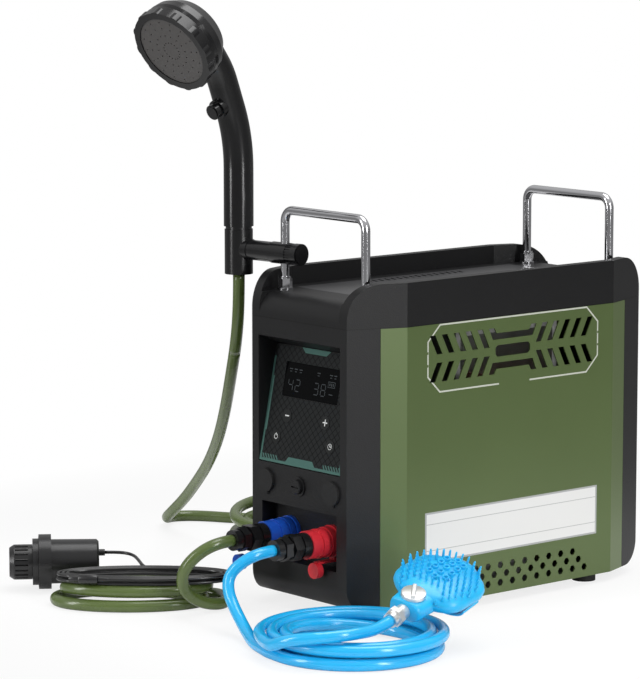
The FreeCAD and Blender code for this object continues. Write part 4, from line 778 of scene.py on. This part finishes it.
strap_vertices, strap_faces = [], []
strap_turns = 24
for i in range(strap_turns + 1):
    swing = math.pi * (0.04 + 0.92 * i / strap_turns)
    over = -36.5 * math.cos(swing)
    drop = -7.0 - 13.5 * math.sin(swing) ** 0.8
    for side_along in (-12.0, 12.0):
        for thick in (0.0, 1.6):
            strap_vertices.append(on_brush(pad_back + side_along, over * (1.0 - thick * 0.01), drop + thick))
for i in range(strap_turns):
    a = i * 4
    for p, q in ((0, 1), (1, 3), (3, 2), (2, 0)):
        strap_faces.append((a + p, a + q, a + q + 4, a + p + 4))
strap_faces += [(0, 2, 3, 1), (strap_turns * 4, strap_turns * 4 + 1, strap_turns * 4 + 3, strap_turns * 4 + 2)]
palm_strap = mesh_piece("palm_strap", strap_vertices, strap_faces, smooth=True)
palm_strap.data.set_sharp_from_angle(angle=math.radians(40.0))
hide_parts("brush_strap")
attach(palm_strap, "heater")

silicone = Finish("blue_silicone", (0.012, 0.440, 0.800), 0.28)
silicone.shader.inputs["Subsurface Weight"].default_value = 0.15
silicone.shader.inputs["Subsurface Scale"].default_value = 0.004
bloom = silicone.noise(60.0, 3.0)
silicone.colour(silicone.blend(bloom, (0.010, 0.390, 0.740), (0.020, 0.490, 0.840)))
silicone.roughness(0.26 + bloom * 0.12)
silicone.bump(silicone.specks(900.0), 0.00004, 0.3)
silicone.on(brush_pad, palm_strap)
nickel = Finish("satin_nickel", (0.74, 0.74, 0.73), 0.30, metallic=0.75)
rub = nickel.noise(90.0)
nickel.roughness(0.26 + rub * 0.10)
nickel.bump(nickel.noise(700.0), 0.00001, 0.2)
nickel.on(node["brush_fitting"], knob_disc, knob_ridge)


# Floor and light: a white floor that stays white to the camera and keeps the shadows; away from the heater it
# is painted dark grey, a painted shade that reflections and bounced light see.
# Two tall softboxes stand at the sides and one hangs above, in a tent that is dimmer near the ground.
bpy.ops.mesh.primitive_plane_add(size=16.0, location=(0.0, 0.0, 0.0))
floor = bpy.context.object
floor.name = "floor"
paper = Finish("white_floor", (0.88, 0.88, 0.88), 0.7)
ray = paper.add("ShaderNodeLightPath", {}, {}, "Is Camera Ray")
glossy = Wire(paper, ray.socket.node.outputs["Is Glossy Ray"])
glow = paper.add("ShaderNodeEmission", {}, {"Color": (1.0, 1.0, 1.0, 1.0), "Strength": 1.0})
body = Wire(paper, paper.shader.outputs[0])
# Away from the heater the floor's colour falls to dark grey: painted shade of a dim room, hidden from the
# camera by the white it sees there.
far_shade = ((abs(paper.x).most(abs(paper.y)) - 0.35) / 0.4).most(0.0).least(1.0)
paper.colour(paper.blend(far_shade, (0.88, 0.88, 0.88), (0.16, 0.16, 0.16)))
seen_white = ray.most(glossy * 0.15) * (0.80 + far_shade * 0.20)
mixed = paper.add("ShaderNodeMixShader", {}, {0: seen_white, 1: body, 2: glow})
paper.tree.links.new(mixed.socket, paper.tree.nodes["Material Output"].inputs["Surface"])
paper.on(floor)

world = bpy.data.worlds.new("tent")
bpy.context.scene.world = world
world.use_nodes = True
tree = world.node_tree
sky = tree.nodes["Background"]
sky.inputs["Color"].default_value = (1.0, 1.0, 1.0, 1.0)
height = tree.nodes.new("ShaderNodeSeparateXYZ")
lie = tree.nodes.new("ShaderNodeTexCoord")
tree.links.new(lie.outputs["Generated"], height.inputs[0])
above = tree.nodes.new("ShaderNodeMapRange")
for socket, value in (("From Min", 0.05), ("From Max", 0.60), ("To Min", 0.16), ("To Max", 0.62)):
    above.inputs[socket].default_value = value
tree.links.new(height.outputs["Z"], above.inputs[0])
tree.links.new(above.outputs[0], sky.inputs["Strength"])
white = tree.nodes.new("ShaderNodeBackground")
white.inputs["Color"].default_value = (1.0, 1.0, 1.0, 1.0)
white.inputs["Strength"].default_value = 1.0
path_of_light = tree.nodes.new("ShaderNodeLightPath")
choice = tree.nodes.new("ShaderNodeMixShader")
seen = tree.nodes.new("ShaderNodeMath")
seen.operation = "MULTIPLY_ADD"
seen.use_clamp = True
seen.inputs[1].default_value = 0.10
tree.links.new(path_of_light.outputs["Is Glossy Ray"], seen.inputs[0])
tree.links.new(path_of_light.outputs["Is Camera Ray"], seen.inputs[2])
tree.links.new(seen.outputs[0], choice.inputs[0])
tree.links.new(sky.outputs[0], choice.inputs[1])
tree.links.new(white.outputs[0], choice.inputs[2])
tree.links.new(choice.outputs[0], tree.nodes["World Output"].inputs["Surface"])


def softbox(name, at, aim, size, power):
    light = bpy.data.lights.new(name, "AREA")
    light.shape = "RECTANGLE"
    light.size = size[0]
    light.size_y = size[1]
    light.energy = power
    lamp = bpy.data.objects.new(name, light)
    lamp.location = at
    lamp.rotation_mode = "QUATERNION"
    lamp.rotation_quaternion = (Vector(aim) - Vector(at)).to_track_quat("-Z", "Y")
    bpy.context.collection.objects.link(lamp)


softbox("left_box", (-0.6, -2.5, 0.98), (0, 0, 0.45), (0.5, 1.8), 28.0)
softbox("right_box", (2.6, -0.3, 0.98), (0, 0, 0.45), (0.5, 1.8), 36.0)
softbox("top_box", (0.2, 0.3, 2.4), (0, 0, 0.2), (1.6, 1.6), 34.0)
